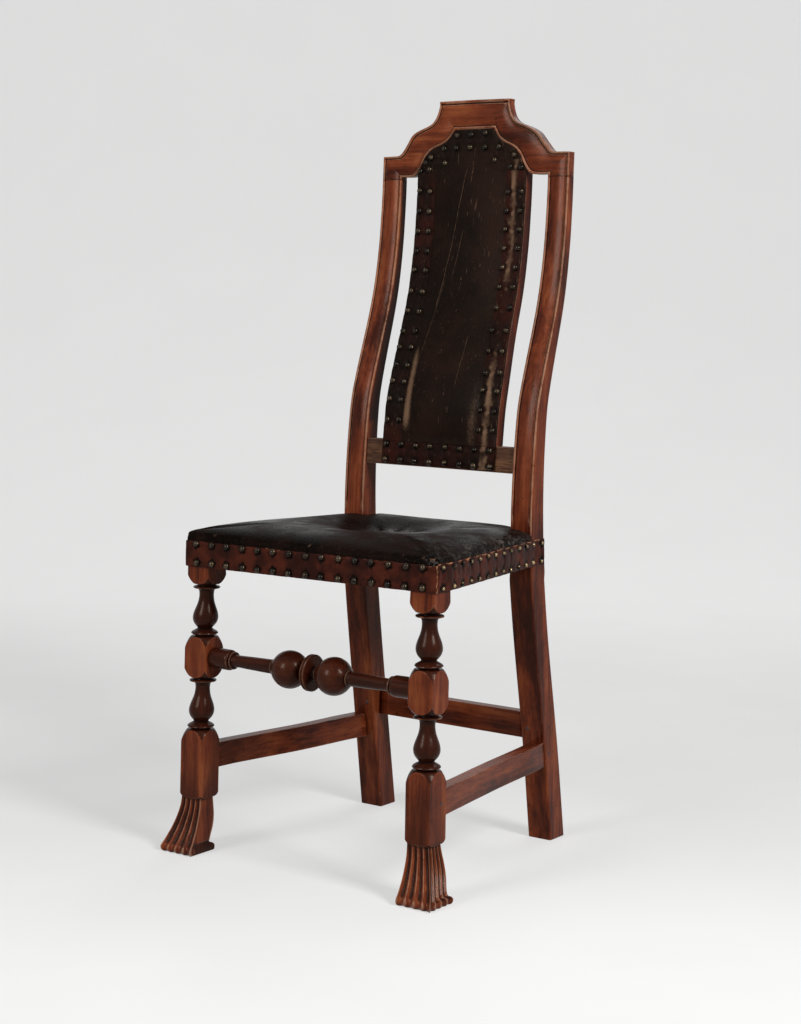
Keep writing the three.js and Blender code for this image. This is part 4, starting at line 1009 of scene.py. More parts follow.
def make_front_legs():
    centre = at(LEG_X, LEG_HALF, 0)
    bar = turn("leg_turning", leg_outline(), centre, UP, 72)
    cuts = [((LEG_X + LEG_HALF, 0, 0), (1, 0, 0)), ((LEG_X - LEG_HALF, 0, 0), (-1, 0, 0)),
            ((0, 0, 0), (0, -1, 0)), ((0, LEG_HALF * 2, 0), (0, 1, 0))]

    def square_up():
        for place, away in cuts:
            bpy.ops.mesh.select_all(action="SELECT")
            bpy.ops.mesh.bisect(plane_co=at(*place), plane_no=away, use_fill=True,
                                clear_outer=True)
        bpy.ops.mesh.select_all(action="SELECT")
        bpy.ops.mesh.remove_doubles(threshold=MM / 20)

    def frame_faces():
        mesh = bmesh.from_edit_mesh(bar.data)
        for face in mesh.faces:
            flat = max(abs(face.normal.x), abs(face.normal.y)) > 0.9999
            face.select_set(flat and face.calc_area() > 200 * MM * MM)
        bpy.ops.mesh.inset(thickness=1.6 * MM, depth=0)
        face_outwards()

    edit(bar, square_up, frame_faces)
    rings = [foot_ring(s) for s in [0, 0.012, 0.03] + spread(0.05, 1, 34)]
    rings[0] = drawn_in(rings[0], 0.96)
    foot = draw_out("leg_foot", rings)
    right = joined([bar, foot], "right_front_leg_wood")

    def stained(place):
        """The turning is darker than the squares, and the foot a little; a band of painted shade
        darkens the crease where the block meets the foot.
        """
        off = max(abs(abs(place.x) - LEG_X), abs(place.y - LEG_HALF))
        if place.z > LOW_BLOCK - 25:
            return ease(LEG_HALF - 0.1, LEG_HALF - 0.5, off)
        # Painted shade in the crease where the block meets the foot.
        if place.z > FOOT_TOP - 2:
            return 0.8 * ease(FOOT_TOP + 7, FOOT_TOP, place.z)
        return 0.1

    # Painted shade on the inner face of the foot's low slab.
    def undercut(place):
        return abs(place.x) < LEG_X - LEG_HALF + 6 and place.z < 17 and place.y > -14

    mark_wear_and_shade(right, joints=undercut, stained=stained,
              rubbed=lambda place: 1.5 if place.z < FOOT_TOP else 0.6)
    soften(right, 40)
    dress_pair(right, maple("upright"))


def bar_ring(middle, across, up, half_wide, half_high, ease_by):
    """Rounded rectangle round a point, with points held close to its arrises."""
    ring = []
    for sx, sy in ((1, 1), (-1, 1), (-1, -1), (1, -1)):
        steps = [(0, 2.6), (0, 1), (0.29, 0.29), (1, 0), (2.6, 0)]
        if sx * sy < 0:
            steps = [(b, a) for a, b in steps]
        ring += [middle + across * (sx * (half_wide - a * ease_by)) + up * (
            sy * (half_high - b * ease_by)) for a, b in steps]
    return ring


def make_bar(name, stations, across, up, wide, high, seed=1.0):
    """A squared bar through points, no truer than a hand plane leaves it."""
    ease_by = bpy.context.scene.chair_wood.arris / MM
    rings = []
    for middle in stations:
        wander = noise.noise(middle * 9 + Vector((seed, 0, 0))) * 0.35 * MM
        rings.append(bar_ring(middle, across, up, wide / 2 * MM + wander, high / 2 * MM - wander,
                              ease_by * MM))
    piece = draw_out(name, rings)
    ends = [in_mm(stations[0]), in_mm(stations[-1])]
    way = (ends[1] - ends[0]).normalized()
    mark_wear_and_shade(piece, joints=lambda place: min(abs((place - end).dot(way)) for end in ends) < 1)
    soften(piece, 40)
    return piece


def line_of(start, end, count):
    """Stations from start to end, with one more close to each end."""
    near = 1.2 * MM / (end - start).length
    return [start.lerp(end, t) for t in [0, near, *spread(0, 1, count)[1:-1], 1 - near, 1]]


def make_side_stretchers():
    z = SIDE_STRETCHER
    near, far = LEG_HALF * 2 + FIT, front_y(z) - 1.2
    start = at(LEG_X + LEG_HALF - 12, near, z)
    end = at(POST_X + POST_HALF - 12, far, z)
    along = (end - start).normalized()
    right = make_bar("right_side_stretcher_wood", line_of(start, end, 14), along.cross(UP), UP,
                     20, 38)
    for vertex in right.data.vertices:
        y = in_mm(vertex.co).y
        if y < near + 2.2:
            vertex.co.y += (near - y) * MM
        else:
            reach = front_y(vertex.co.z / MM) - FIT - far
            vertex.co.y += reach * MM * ease(250, far, y)
    dress_pair(right, maple("deep"))


def make_rear_stretcher():
    z = REAR_STRETCHER
    y = front_y(z) + post_depth(z) - 12
    end = POST_X - POST_HALF - FIT
    piece = make_bar("rear_stretcher_wood", line_of(at(-end, y, z), at(end, y, z), 16),
                     BACKWARDS, UP, 20, 40, seed=4)
    dress(piece, maple("across"), ["rear_stretcher"])


def make_stay_rail():
    z = (STAY_FOOT + STAY_TOP) / 2
    end = POST_X - POST_HALF - FIT
    y = front_y(z) + SET_BACK + 9
    rise = (front_y(STAY_TOP) - front_y(STAY_FOOT)) / (STAY_TOP - STAY_FOOT)
    up = Vector((0, rise, 1))
    piece = make_bar("stay_rail_wood", line_of(at(-end, y, z), at(end, y, z), 16),
                     BACKWARDS, up, 18, 40, seed=7)
    dress(piece, oak("across"), ["stay_rail"])


def make_back_stiles():
    low, high = STAY_TOP + FIT, BOARD_FOOT - FIT
    levels = [low, low + 1.2, *spread(low, high, 34)[1:-1], high - 1.2, high]
    wide, deep = 14, 9.5
    rings = [bar_ring(at(PANEL_HALF - wide, front_y(z) + SET_BACK + deep, z), ACROSS, BACKWARDS,
                      wide * MM, deep * MM, 0.9 * MM) for z in levels]
    right = draw_out("right_back_stile_wood", rings)
    # Painted shade on each stile's inner face, beside the back's leather.
    mark_wear_and_shade(right, joints=lambda place: place.x < PANEL_HALF - 2 * wide + 1)
    soften(right, 40)
    dress_pair(right, oak("upright", "_stained"))


def make_front_stretcher():
    # From the middle disc to the tenon: radius, and distance from the middle.
    ball, centre = 28, 40.5
    half = [(25.6, 0), (26.2, 0.6), (27, 1.6), (27, 2.7), (26.2, 3.6), (24, 4.2), (16, 4.9),
            (9.4, 5.6), (8.8, 7), (8.8, 9), (10, 10.4), (11.9, 11.2), (12, 12.2)]
    for k in range(3, 35):
        angle = math.pi * (0.12 + 0.76 * (k - 3) / 31)
        half.append((ball * math.sin(angle), centre - ball * math.cos(angle)))
    half += [(12, 67.6), (12, 69.4), (11, 70.4), (10.6, 71.5), (10.3, 90), (9.7, 115), (9, 136),
             (9.6, 143), (10, 143.8), (13.1, 144.4), (13.4, 146), (12.8, 147.2), (10.8, 147.8),
             (10.6, 149), (13.8, 149.8), (15.1, 151.4), (15.5, 154), (15.5, 170), (15.2, 186.2),
             (8, 186.2), (8, 205)]
    outline = [(0, -205)] + [(r, -x) for r, x in reversed(half[1:])] + half + [(0, 205)]
    middle = at(0, LEG_HALF, FRONT_STRETCHER)
    piece = turn("front_stretcher_wood", outline, middle, ACROSS)
    mark_wear_and_shade(piece, joints=lambda place: abs(place.x) > 185.5, stained=lambda place: 0.9)
    soften(piece, 40)
    dress(piece, maple("across"), ["front_stretcher"])


def make_pegs():
    """One whittled peg is copied into each joint that shows one."""
    ways_out = {
        "side_stretcher_front_peg": (1, 0), "side_stretcher_back_peg": (1, 0),
        "rear_stretcher_peg": (0, -1), "stay_rail_peg": (0, 1), "crest_peg": (0, 1),
    }
    for name, (x, y) in ways_out.items():
        for side, sign in SIDES:
            low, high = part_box(f"{side}_{name}")
            away = Vector((x * sign, y, 0))
            middle = (low + high) / 2
            length = max(high - low) / MM
            end = middle + away * (length / 2 * MM)
            outline = [(0, -length), (2.6, -length), (3.1, -length + 2), (3.2, -1.4), (3.0, -0.5),
                       (2.4, -0.1), (1.2, 0), (0, 0)]
            piece = turn(f"{side}_{name}_wood", outline, end, away, 20)
            soften(piece, 40)
            dress(piece, peg_wood(), [f"{side}_{name}"])


def finish_seat_rails():
    for name, grain in (("front_seat_rail", "across"), ("rear_seat_rail", "across"),
                        ("right_side_seat_rail", "deep"), ("left_side_seat_rail", "deep")):
        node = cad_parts[name]
        node.data.materials.clear()
        node.data.materials.append(oak(grain))


# Leatherwork
def near_nails(x, z, nails):
    """How strongly the nails draw a point in, the fold round them, and the painted shadow round
    each nail.
    """
    pull = fold = painted_nail_shadow = 0
    for nx, nz in nails:
        dx, dz = x - nx, z - nz
        if abs(dx) < 26 and abs(dz) < 26:
            far = math.hypot(dx, dz)
            pull = max(pull, bell(far, 8))
            painted_nail_shadow = max(painted_nail_shadow, bell(far, 8.4, 4))
            turn_by = math.atan2(dz, dx)
            fold += bell(far - 10, 6) * math.cos(5 * turn_by + nx * 1.7)
    return pull, fold, painted_nail_shadow


def spots(seed, count, low, high, along, wobble=1.2):
    """Nails in a row, no more evenly spaced than by hand."""
    rand = random.Random(seed)
    return [(x + rand.uniform(-wobble, wobble), along + rand.uniform(-0.6, 0.6))
            for x in spread(low, high, count)]


NAILS = {}


def hammer(group, places):
    """Remembers nails to be driven: a point on the leather and the way out of it."""
    NAILS.setdefault(group, []).extend(places)


def make_nails():
    """One domed nail is modelled and copied to every place in a row."""
    look = bpy.context.scene.chair_nails
    rand = random.Random(11)
    begin()
    bpy.ops.mesh.primitive_uv_sphere_add(segments=16, ring_count=10, radius=look.radius)
    nail = take("nail_pattern")

    def dome():
        bpy.ops.mesh.bisect(plane_co=(0, 0, 0), plane_no=(0, 0, -1), clear_outer=True)
        bpy.ops.transform.resize(value=(1, 1, look.rise / look.radius), center_override=(0, 0, 0))
        bpy.ops.mesh.select_all(action="DESELECT")
        bpy.ops.mesh.select_non_manifold(extend=False)
        bpy.ops.mesh.extrude_region_move(TRANSFORM_OT_translate={"value": (0, 0, -0.9 * MM)})
        bpy.ops.mesh.edge_face_add()
        face_outwards()

    edit(nail, dome)
    for group, places in NAILS.items():
        small = group in ("right_band", "left_band")
        copies = []
        for place, out in places:
            copy = nail.copy()
            copy.data = nail.data.copy()
            bpy.context.collection.objects.link(copy)
            lean = Vector((rand.uniform(-1, 1), rand.uniform(-1, 1), rand.uniform(-1, 1))) * 0.09
            turn_to = (out.normalized() + lean).to_track_quat("Z", "Y").to_matrix().to_4x4()
            size = rand.uniform(0.94, 1.05) * (0.62 if small else 1)
            copy.matrix_world = Matrix.Translation(place) @ turn_to @ Matrix.Scale(size, 4)
            copies.append(copy)
        piece = joined(copies, f"nails_{group}")
        bpy.ops.object.transform_apply(location=True, rotation=True, scale=True)
        soften(piece, 60)
        dress(piece, nail_brass("side" if small else "large"))
    bpy.data.objects.remove(nail)


BAND_OUT, BAND_TOP = 4.8, 476.5
SEAT_ROWS = (442.5, 471)
# Where a side seat rail leaves the leg and meets the post, and how long its band is.
SIDE_START, SIDE_END, SIDE_RUN = 39, 333, 369.1


def side_x(y):
    """Outer face of a side seat rail at a depth."""
    leg, post = LEG_X + LEG_HALF, POST_X + POST_HALF
    return leg + (post - leg) * (y - SIDE_START) / (SIDE_END - SIDE_START)


def band_path(s):
    """Outer face of the right band, a length from the front: x, y and the way out."""
    out = BAND_OUT
    leg, post, turning = LEG_X + LEG_HALF + out, POST_X + POST_HALF + 2.1, SIDE_END - 3
    corners = [(leg, 3.6), (leg, SIDE_START), (side_x(turning) + out, turning), (post, 341),
               (post, BACK_RAIL + 3.6)]
    for (x0, y0), (x1, y1) in zip(corners, corners[1:]):
        run = math.hypot(x1 - x0, y1 - y0)
        if s <= run or (x1, y1) == corners[-1]:
            t = s / run
            return (x0 + (x1 - x0) * t, y0 + (y1 - y0) * t,
                    Vector(((y1 - y0) / run, -(x1 - x0) / run, 0)))
        s -= run


def ragged(seed, s, size=1.0):
    return size * (uneven(s * 0.045, seed, 0) * 1.2
                   + uneven(s * 0.21, seed, 4) * 0.7)


def make_seat_bands():
    look = bpy.context.scene.chair_leather
    pucker = look.pucker / MM
    hide = band_hide()

    def lay(name, length, path, seed, rows_of_nails):
        def place(u, v):
            s = u * length
            top = BAND_TOP + ragged(seed, s)
            foot = RAIL_FOOT + 0.3 + ragged(seed + 9, s, 0.3)
            if name == "front":
                top -= 1.5 + 3 * (1 - u)
                foot -= 0.4 + 3.4 * (1 - u)
            z = foot + (top - foot) * v
            x, y, out = path(s)
            pull, fold, painted_nail_shadow = near_nails(s, z, rows_of_nails)
            to_foot, to_top = v * 39, (1 - v) * 39
            drawn = max(bell(s - nail[0], 3.2) for nail in rows_of_nails)
            lift = -pucker * pull + 0.28 * fold - 0.5 * drawn
            lift += 0.5 * uneven(s * 0.03, z * 0.04, seed)
            lift -= 0.5 * bell(min(to_foot, to_top), 1.4)
            torn = 0.75 + 0.6 * uneven(s * 0.05, seed, 1)
            frayed = (0.45 if name == "front" else 1.05) * torn
            worn = frayed * bell(to_top, 2.2)
            worn += 0.35 * torn * bell(to_foot, 2)
            # Painted shadow round each nail, and painted shade along the line that the nail draws
            # in.
            worn += 0.3 * max(0, fold) - 0.08 * drawn - 0.6 * painted_nail_shadow
            if name == "front":
                split = uneven(0, z * 0.16, 6) * 2 + 3
                worn += 1.1 * torn * bell(length - s - split, 1.5)
            return at(x, y, z) + out * (lift * MM), worn

        return lay_sheet(f"{name}_band_leather", int(length / 2), 18, place)

    fold = 8.0
    wide = (LEG_X + LEG_HALF + BAND_OUT - fold) * 2 + math.pi * fold
    straight = wide / 2 - math.pi * fold / 2

    def front_path(s):
        """Straight across the front, and folded round the leg at each end."""
        reach = s - wide / 2
        turn_by = max(0, abs(reach) - straight) / fold
        x = min(abs(reach), straight) + fold * math.sin(turn_by)
        out = Vector((math.copysign(math.sin(turn_by), reach), -math.cos(turn_by), 0))
        return math.copysign(x, reach), -BAND_OUT + fold * (1 - math.cos(turn_by)), out

    front_nails = [(s, z - 3.2 * (1 - s / wide)) for row, z in enumerate(SEAT_ROWS)
                   for s, z in spots(20 + row, 15, 30, wide - 26, z)]
    front = lay("front", wide, front_path, 2.0, front_nails)
    thicken(front, 1.7)
    dress(front, hide, ["front_seat_band"])
    hammer("front_band", [(at(front_path(s)[0], -BAND_OUT + 0.6, z), -BACKWARDS)
                          for s, z in front_nails])

    for side, sign in SIDES:
        side_nails = [p for row, z in enumerate(SEAT_ROWS)
                      for p in spots(30 + row + sign, 13, 12, SIDE_RUN - 8, z)]

        def side_path(s, sign=sign):
            x, y, out = band_path(min(s, SIDE_RUN))
            return sign * x, y, Vector((sign * out.x, out.y, 0))

        band = lay(side, SIDE_RUN, side_path, 6.0 - sign, side_nails)
        edit(band, face_outwards)
        if band.data.polygons[0].normal.x * sign < 0:
            edit(band, bpy.ops.mesh.flip_normals)
        thicken(band, 1.7)
        dress(band, hide, [f"{side}_side_seat_band"])
        driven = []
        for s, z in side_nails:
            x, y, out = side_path(s)
            driven.append((at(x, y, z) - out * (0.4 * MM), out))
        hammer(f"{side}_band", driven)


SEAT_CENTRE, DIMPLE = 228, (-20, 222)
SEAT_EDGE, SEAT_CROWN = 480, 18


def from_dimple(x, y):
    return math.hypot(x - DIMPLE[0], y - DIMPLE[1])


def seat_outline():
    """Plan of the seat's leather, from the front middle round by the right side."""
    out = 2.7
    leg, rear = LEG_X + LEG_HALF + out, BACK_RAIL + out
    notch_x, notch_y = POST_X - POST_HALF - FIT, POST_FACE - FIT
    corners = [(0, -out), (leg - 6, -out), (leg - 1.8, -out + 1.8), (leg, 6), (leg, SIDE_START),
               (side_x(notch_y - 3) + out, notch_y - 3), (side_x(notch_y) + out - 3, notch_y),
               (notch_x + 2, notch_y), (notch_x, notch_y + 2), (notch_x, rear - 3),
               (notch_x - 3, rear), (0, rear)]
    counts = [36, 3, 3, 6, 44, 3, 8, 3, 7, 3, 22]
    half = []
    for (x0, y0), (x1, y1), n in zip(corners, corners[1:], counts):
        half += [(x0 + (x1 - x0) * k / n, y0 + (y1 - y0) * k / n) for k in range(n)]
    half.append(corners[-1])
    return half + [(-x, y) for x, y in half[-2:0:-1]]


def seat_height(share, x, y):
    away = math.hypot((x - DIMPLE[0]) * 0.88, y - DIMPLE[1])
    turn_by = math.atan2(x - DIMPLE[0], y - DIMPLE[1])
    rise = SEAT_CROWN * max(0, 1 - share**5) ** 0.42
    dip = 19 * bell(away, 82, 3) + 3 * bell(away, 18)
    wave = math.cos(7 * turn_by + 0.8 * math.sin(2 * turn_by)) * 0.5 + 0.5
    crease = 2.6 * bell(away - 36, 24) * wave**3
    slack = 0.8 * uneven(x * 0.012, y * 0.012, 3) * (1 - share**8)
    return SEAT_EDGE + rise - dip - crease + slack


def make_seat():
    outline = seat_outline()
    shares = [1.0] * 3 + [0.995, 0.985, 0.97, 0.95, 0.925, 0.9] + spread(0.87, 0.03, 34)
    around = len(outline)

    def torn_edge(x):
        return 0.6 + 0.8 * uneven(x * 0.09, 3, 5)

    def place(u, v):
        k = int(round(u * around)) % around
        row = int(round(v * (len(shares) - 1)))
        share = shares[row]
        x, y = outline[k]
        if row < 3:
            z = (RAIL_FOOT + 0.4, 458, SEAT_EDGE - 4)[row]
            if 139 < abs(x) < 181 and y > 328:
                z = max(z, 470)
            return at(x, y, z), 0.0
        inset = ease(1, 0.97, share) * 1.2
        px, py = x * share, SEAT_CENTRE + (y - SEAT_CENTRE) * share
        z = seat_height(share, px, py)
        worn = 0.5 * torn_edge(px) * ease(0.95, 0.995, share) * ease(60, 0, py)
        torn = 0.5 + 0.9 * uneven(px * 0.16, py * 0.16, 2)
        worn += 0.9 * torn * bell(math.hypot(px - 226, py + 2), 9)
        worn += 0.6 * torn * bell(math.hypot(px - 178, py - 318), 22)
        # Painted shade in the dimple.
        worn -= 0.6 * bell(from_dimple(px, py), 70, 4)
        return at(px * (1 - inset * 0.002), py, z), worn

    cover = lay_sheet("seat_leather_cover", around, len(shares) - 1, place)
    crazing = cover.data.attributes.new("crazing", "FLOAT", "POINT")
    for k, vertex in enumerate(cover.data.vertices):
        x, y = in_mm(vertex.co).xy
        middle = bell(math.hypot((x - DIMPLE[0]) * 0.9, y - DIMPLE[1] - 20), 26)
        near_side = ease(150, 215, x) * (0.16 + 0.34 * bell(y - 250, 40))
        corner = 0.3 * bell(math.hypot(x - 222, y), 10)
        crazing.data[k].value = middle * 0.7 + near_side * 0.8 * ease(0, 60, y) + corner

    def close():
        bpy.ops.mesh.remove_doubles(threshold=MM / 50)
        bpy.ops.mesh.select_all(action="DESELECT")
        mesh = bmesh.from_edit_mesh(cover.data)
        for edge in mesh.edges:
            middle = (edge.verts[0].co + edge.verts[1].co) / 2
            edge.select_set(edge.is_boundary and middle.z > (SEAT_EDGE - 2) * MM)
        bpy.ops.mesh.edge_face_add()
        bpy.ops.mesh.poke()
        face_outwards()

    edit(cover, close)

    def tacked(place):
        if place.z < SEAT_EDGE - 1:
            return 1.0
        return 0.97 * bell(from_dimple(place.x, place.y), 80, 4)

    billow(cover, 3.0, 5.0, tacked)
    thicken(cover, 2.2, smooth_by=60)
    dress(cover, seat_hide(), ["seat_leather", "seat_stuffing"])


def billow(cover, pressure, most, tacked):
    """Fills a leather cover: what is tacked stays, and the rest swells by a few millimetres."""
    before = [v.co.copy() for v in cover.data.vertices]
    pins = cover.vertex_groups.new(name="tacked")
    for vertex in cover.data.vertices:
        pins.add([vertex.index], tacked(in_mm(vertex.co)), "REPLACE")
    only(cover)
    cloth = cover.modifiers.new("Filling", "CLOTH")
    cloth.settings.vertex_group_mass = "tacked"
    cloth.settings.use_pressure = True
    cloth.settings.uniform_pressure_force = pressure
    cloth.settings.effector_weights.gravity = 0
    cloth.settings.tension_stiffness = 40
    cloth.settings.compression_stiffness = 40
    cloth.settings.shear_stiffness = 20
    cloth.settings.bending_stiffness = 4
    for step in range(1, 21):
        bpy.context.scene.frame_set(step)
    bpy.ops.object.modifier_apply(modifier=cloth.name)
    bpy.context.scene.frame_set(1)
    for vertex, start in zip(cover.data.vertices, before):
        way = vertex.co - start
        if way.length > most * MM:
            vertex.co = start + way.normalized() * (most * MM)
    cover.vertex_groups.clear()


def panel_half(z):
    return min(PANEL_HALF, arch_half(z + FIT) - FIT) if z > BOARD_FOOT - 12 else PANEL_HALF


def puff(x, z):
    """How far the padded leather stands out; it steps up where the borders end."""
    side = PANEL_HALF - BORDER
    u = min(1, abs(x) / side)
    v = min(1, abs(z - 839) / 213)
    rows = [(x * PANEL_HALF, BOARD_FOOT + z * (ARCH_TOP - BOARD_FOOT)) for x, z in ARCH_INSIDE]
    top = smooth(sorted(rows), abs(x)) + 2
    rim = 1.5 if abs(x) < side and STAY_TOP - 0.8 < z < top else 0
    return rim + 5.5 * (1 - u**3.2) * (1 - v**6)


def make_back_leather():
    side, foot = PANEL_HALF - BORDER, PANEL_FOOT + BORDER
    half = [k * (side - 0.12) / 20 for k in range(21)]
    shares = half + [side + 0.12] + [side + (PANEL_HALF - side) * k / 7 for k in range(1, 8)]
    columns = [-x for x in reversed(shares[1:])] + shares
    levels = spread(PANEL_FOOT, foot - 0.2, 6) + spread(foot + 0.3, ARCH_TOP - FIT, 140)

    def place(u, v):
        z = levels[round(v * (len(levels) - 1))]
        x = columns[round(u * (len(columns) - 1))]
        x *= panel_half(z) / PANEL_HALF
        wave = uneven(x * 0.014, z * 0.006, 1) * 0.9
        y = front_y(z) + 0.5 - puff(x, z) - wave * (1 - min(1, abs(x) / 90) ** 4)
        worn = 0.12 + 0.75 * bell(x + 64, 7) * ease(620, 660, z) * ease(790, 740, z)
        worn += 0.25 * bell(x - 62, 12) + 0.2 * bell(z - 650, 50)
        return at(x, y, z), worn

    leather = lay_sheet("back_leather_cover", len(columns) - 1, len(levels) - 1, place)
    face_front(leather)

    def tacked(place):
        inside = ease(side - 2, side - 14, abs(place.x)) * ease(foot + 2, foot + 14, place.z)
        return 1 - inside * ease(1068, 1056, place.z)

    billow(leather, 2.5, 3.5, tacked)
    thicken(leather, 2.1, smooth_by=60)
    dress(leather, back_hide("panel"), ["back_leather", "back_stuffing"])


# Inside edge of the border under the arch: shares of the panel's half width and of the arch.
ARCH_INSIDE = [
    (0.664, 0), (0.66, 0.06), (0.645, 0.11), (0.62, 0.15), (0.585, 0.185), (0.54, 0.21),
    (0.48, 0.225), (0.42, 0.235), (0.37, 0.24), (0.33, 0.245), (0.3, 0.248), (0.28, 0.25),
    (0.25, 0.25), (0, 0.25),
]


def strip_y(z):
    return front_y(z) - 1.4


def lean_out(z):
    return Vector((0, -1, (front_y(z + 5) - front_y(z - 5)) / 10)).normalized()


def make_back_borders():
    look = bpy.context.scene.chair_leather
    pucker = look.pucker / MM

    def lay(name, columns, rows, spot, nails, seed, inner_edge, nodes, finish, flat):
        def place(u, v):
            x, z, to_inner, to_outer = spot(u, v)
            pull, fold, painted_nail_shadow = near_nails(x, z, nails)
            lift = -pucker * pull + 0.25 * fold
            lift += 0.35 * uneven(x * 0.05, z * 0.03, seed)
            lift -= 0.4 * bell(to_outer, 1.3)
            worn = inner_edge * bell(to_inner, 2.2)
            # Painted shadow round each nail.
            worn += 0.5 * bell(to_outer, 1.4) + 0.2 * max(0, fold) - 0.5 * painted_nail_shadow
            if x > 0 and z < 1070:
                middle = 87 + 3 * uneven(0, z * 0.02, 5)
                amount = ease(850, 900, z) + ease(790, 740, z)
                amount *= 0.55 + 0.6 * uneven(x * 0.1, z * 0.03, 8)
                worn += (0.3 + 0.8 * amount) * bell(x - middle, 10.5)
            return at(x, strip_y(z), z) + lean_out(z) * (lift * MM), worn

        strip = lay_sheet(f"{name}_leather", columns, rows, place)
        face_front(strip)
        thicken(strip, 1.5, smooth_by=60)
        dress(strip, finish, nodes)
        hammer(name, [(at(x, strip_y(z) + 0.4, z), lean_out(z)) for x, z in nails])

    heights = {
        "right": (1018, 987, 957, 927, 897, 865, 832, 797, 764, 730, 702, 671, 641),
        "left": (1021, 988, 955, 922, 891, 856, 824, 791, 765, 737, 710, 681, 648),
    }
    for side, sign in SIDES:
        rand = random.Random(60 + sign)
        nails = []
        for z in heights[side]:
            for x in (101, 75 if sign > 0 else 78 + 4 * ease(880, 1020, z)):
                nails.append((sign * x + rand.uniform(-0.7, 0.7), z + rand.uniform(-0.8, 0.8)))

        def spot(u, v, sign=sign):
            z = PANEL_FOOT + BORDER + FIT + (BOARD_FOOT - PANEL_FOOT - BORDER - 2 * FIT) * v
            inner = PANEL_HALF - BORDER + ragged(sign + 3, z, 0.12)
            outer = panel_half(z)
            x = inner + (outer - inner) * u
            return sign * x, z, x - inner, outer - x

        lay(f"{side}_back_border", 20, 200, spot, nails, sign * 2.0, 0.1,
            [f"{side}_back_side_strip"], back_hide("border"), (BORDER * MM, 0.436))

    rows = (PANEL_FOOT + 5.5, PANEL_FOOT + BORDER - 5.5)
    nails = [p for k, z in enumerate(rows) for p in spots(80 + k, 8, -99, 99, z)]

    def foot_spot(u, v):
        x, z = (2 * u - 1) * PANEL_HALF, PANEL_FOOT + 0.2 + (BORDER - 0.4) * v
        return x, z, BORDER * (1 - v), BORDER * v

    lay("bottom_back_border", 100, 18, foot_spot, nails, 8.0, 0.15, ["back_bottom_strip"],
        back_hide("border"), (BORDER * MM, PANEL_HALF * 2 * MM))

    nails = [(-31, 1111), (-5, 1111), (22, 1113), (-56, 1090), (-33, 1090), (-6, 1091),
             (23, 1090), (52, 1090), (85, 1077), (-82, 1076), (-92, 1068), (-54, 1066),
             (44, 1069), (-102, 1054), (-84, 1056), (99, 1056), (78, 1058)]

    def arch_spot(u, v):
        """u runs round the arch from the right foot to the left one, v from inside to outside."""
        sign, step = (1, u * 26) if u < 0.5 else (-1, 26 - u * 26)
        if step < 12:
            x_out, z_out = crest_line(CREST_INNER, 5 + step)
            x_out, z_out = min(x_out - FIT, PANEL_HALF), max(z_out - FIT, BOARD_FOOT)
        else:
            x_out, z_out = CREST_INNER[17][0] * (POST_X + POST_HALF) * (13 - step), ARCH_TOP - FIT
        k = min(int(step), 12)
        (x0, z0), (x1, z1) = ARCH_INSIDE[k:k + 2]
        x_in = (x0 + (x1 - x0) * (step - k)) * PANEL_HALF
        z_in = BOARD_FOOT + (z0 + (z1 - z0) * (step - k)) * (ARCH_TOP - BOARD_FOOT)
        x, z = x_in + (x_out - x_in) * v, z_in + (z_out - z_in) * v
        wide = math.hypot(x_out - x_in, z_out - z_in)
        return sign * x, z, wide * v, wide * (1 - v)

    lay("top_back_border", 156, 18, arch_spot, nails, 12.0, 0.05, ["back_top_strip"],
        back_hide("top"), (44 * MM, 214 * MM))


# Cloth under the leather
def make_linen():
    def place(u, v):
        z = STAY_FOOT + 5.5 + (ARCH_TOP - STAY_FOOT - 11) * v
        x = (2 * u - 1) * (panel_half(min(z, ARCH_TOP - 6)) - 2)
        return at(x, front_y(z) + 3.3, z), 0.0

    piece = lay_sheet("back_linen_cloth", 40, 110, place)
    thicken(piece, 0.7)
    dress(piece, woven("plain_linen", 1.1, "linen"), ["back_linen"])


def sag(x, y):
    """How far the webs have given way under the dimple."""
    return 8 * bell(from_dimple(x, y), 75, 4)


def make_seat_cloths():
    low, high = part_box("seat_sackcloth")

    def place(u, v):
        y = low.y + (high.y - low.y) * v
        back = (y - RAIL_FACE) / MM
        reach = side_x(min(back, SIDE_END - 3)) - 6 if back < POST_FACE - 0.5 else 134
        x = (2 * u - 1) * reach
        return Vector((x * MM, y, (low.z + high.z) / 2 - sag(x, back) * MM)), 0.0

    cloth = lay_sheet("seat_sacking", 70, 60, place)
    thicken(cloth, 0.7, offset=0)
    dress(cloth, woven("seat_sacking", 1.6, "linen"), ["seat_sackcloth"])
    weave = woven("hemp_webbing", 2.2, "hemp")
    for way in ("front_to_back", "side_to_side"):
        for k in (1, 2, 3):
            node = f"web_{way}_{k}"
            low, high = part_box(node)
            lengthways = way == "front_to_back"

            def strip(u, v, low=low, high=high, lengthways=lengthways, k=k):
                x = low.x + (high.x - low.x) * (u if lengthways else v)
                y = low.y + (high.y - low.y) * (v if lengthways else u)
                along = v if lengthways else u
                first = 1 if (k % 2 == 1) == lengthways else -1
                ends = math.sin(math.pi * along)
                lift = first * math.cos(4 * math.pi * along) * 0.9 * ends
                lift -= sag(x / MM, (y - RAIL_FACE) / MM)
                return Vector((x, y, (low.z + high.z) / 2 + lift * MM)), 0.0

            piece = lay_sheet(f"{node}_hemp", 16, 100, strip)
            thicken(piece, 1.3, offset=0)
            dress(piece, weave, [node])


# Stage
CAMERA = (1.7554, -2.4828, 0.8429)
YAW, PITCH, ROLL = math.radians(-35.08), math.radians(-0.95), math.radians(1.12)
# Focal length and shift in pixels, for a picture that is 1024 pixels high.
FOCAL, SHIFT, PICTURE_HEIGHT = 1983.8, -180, 1024


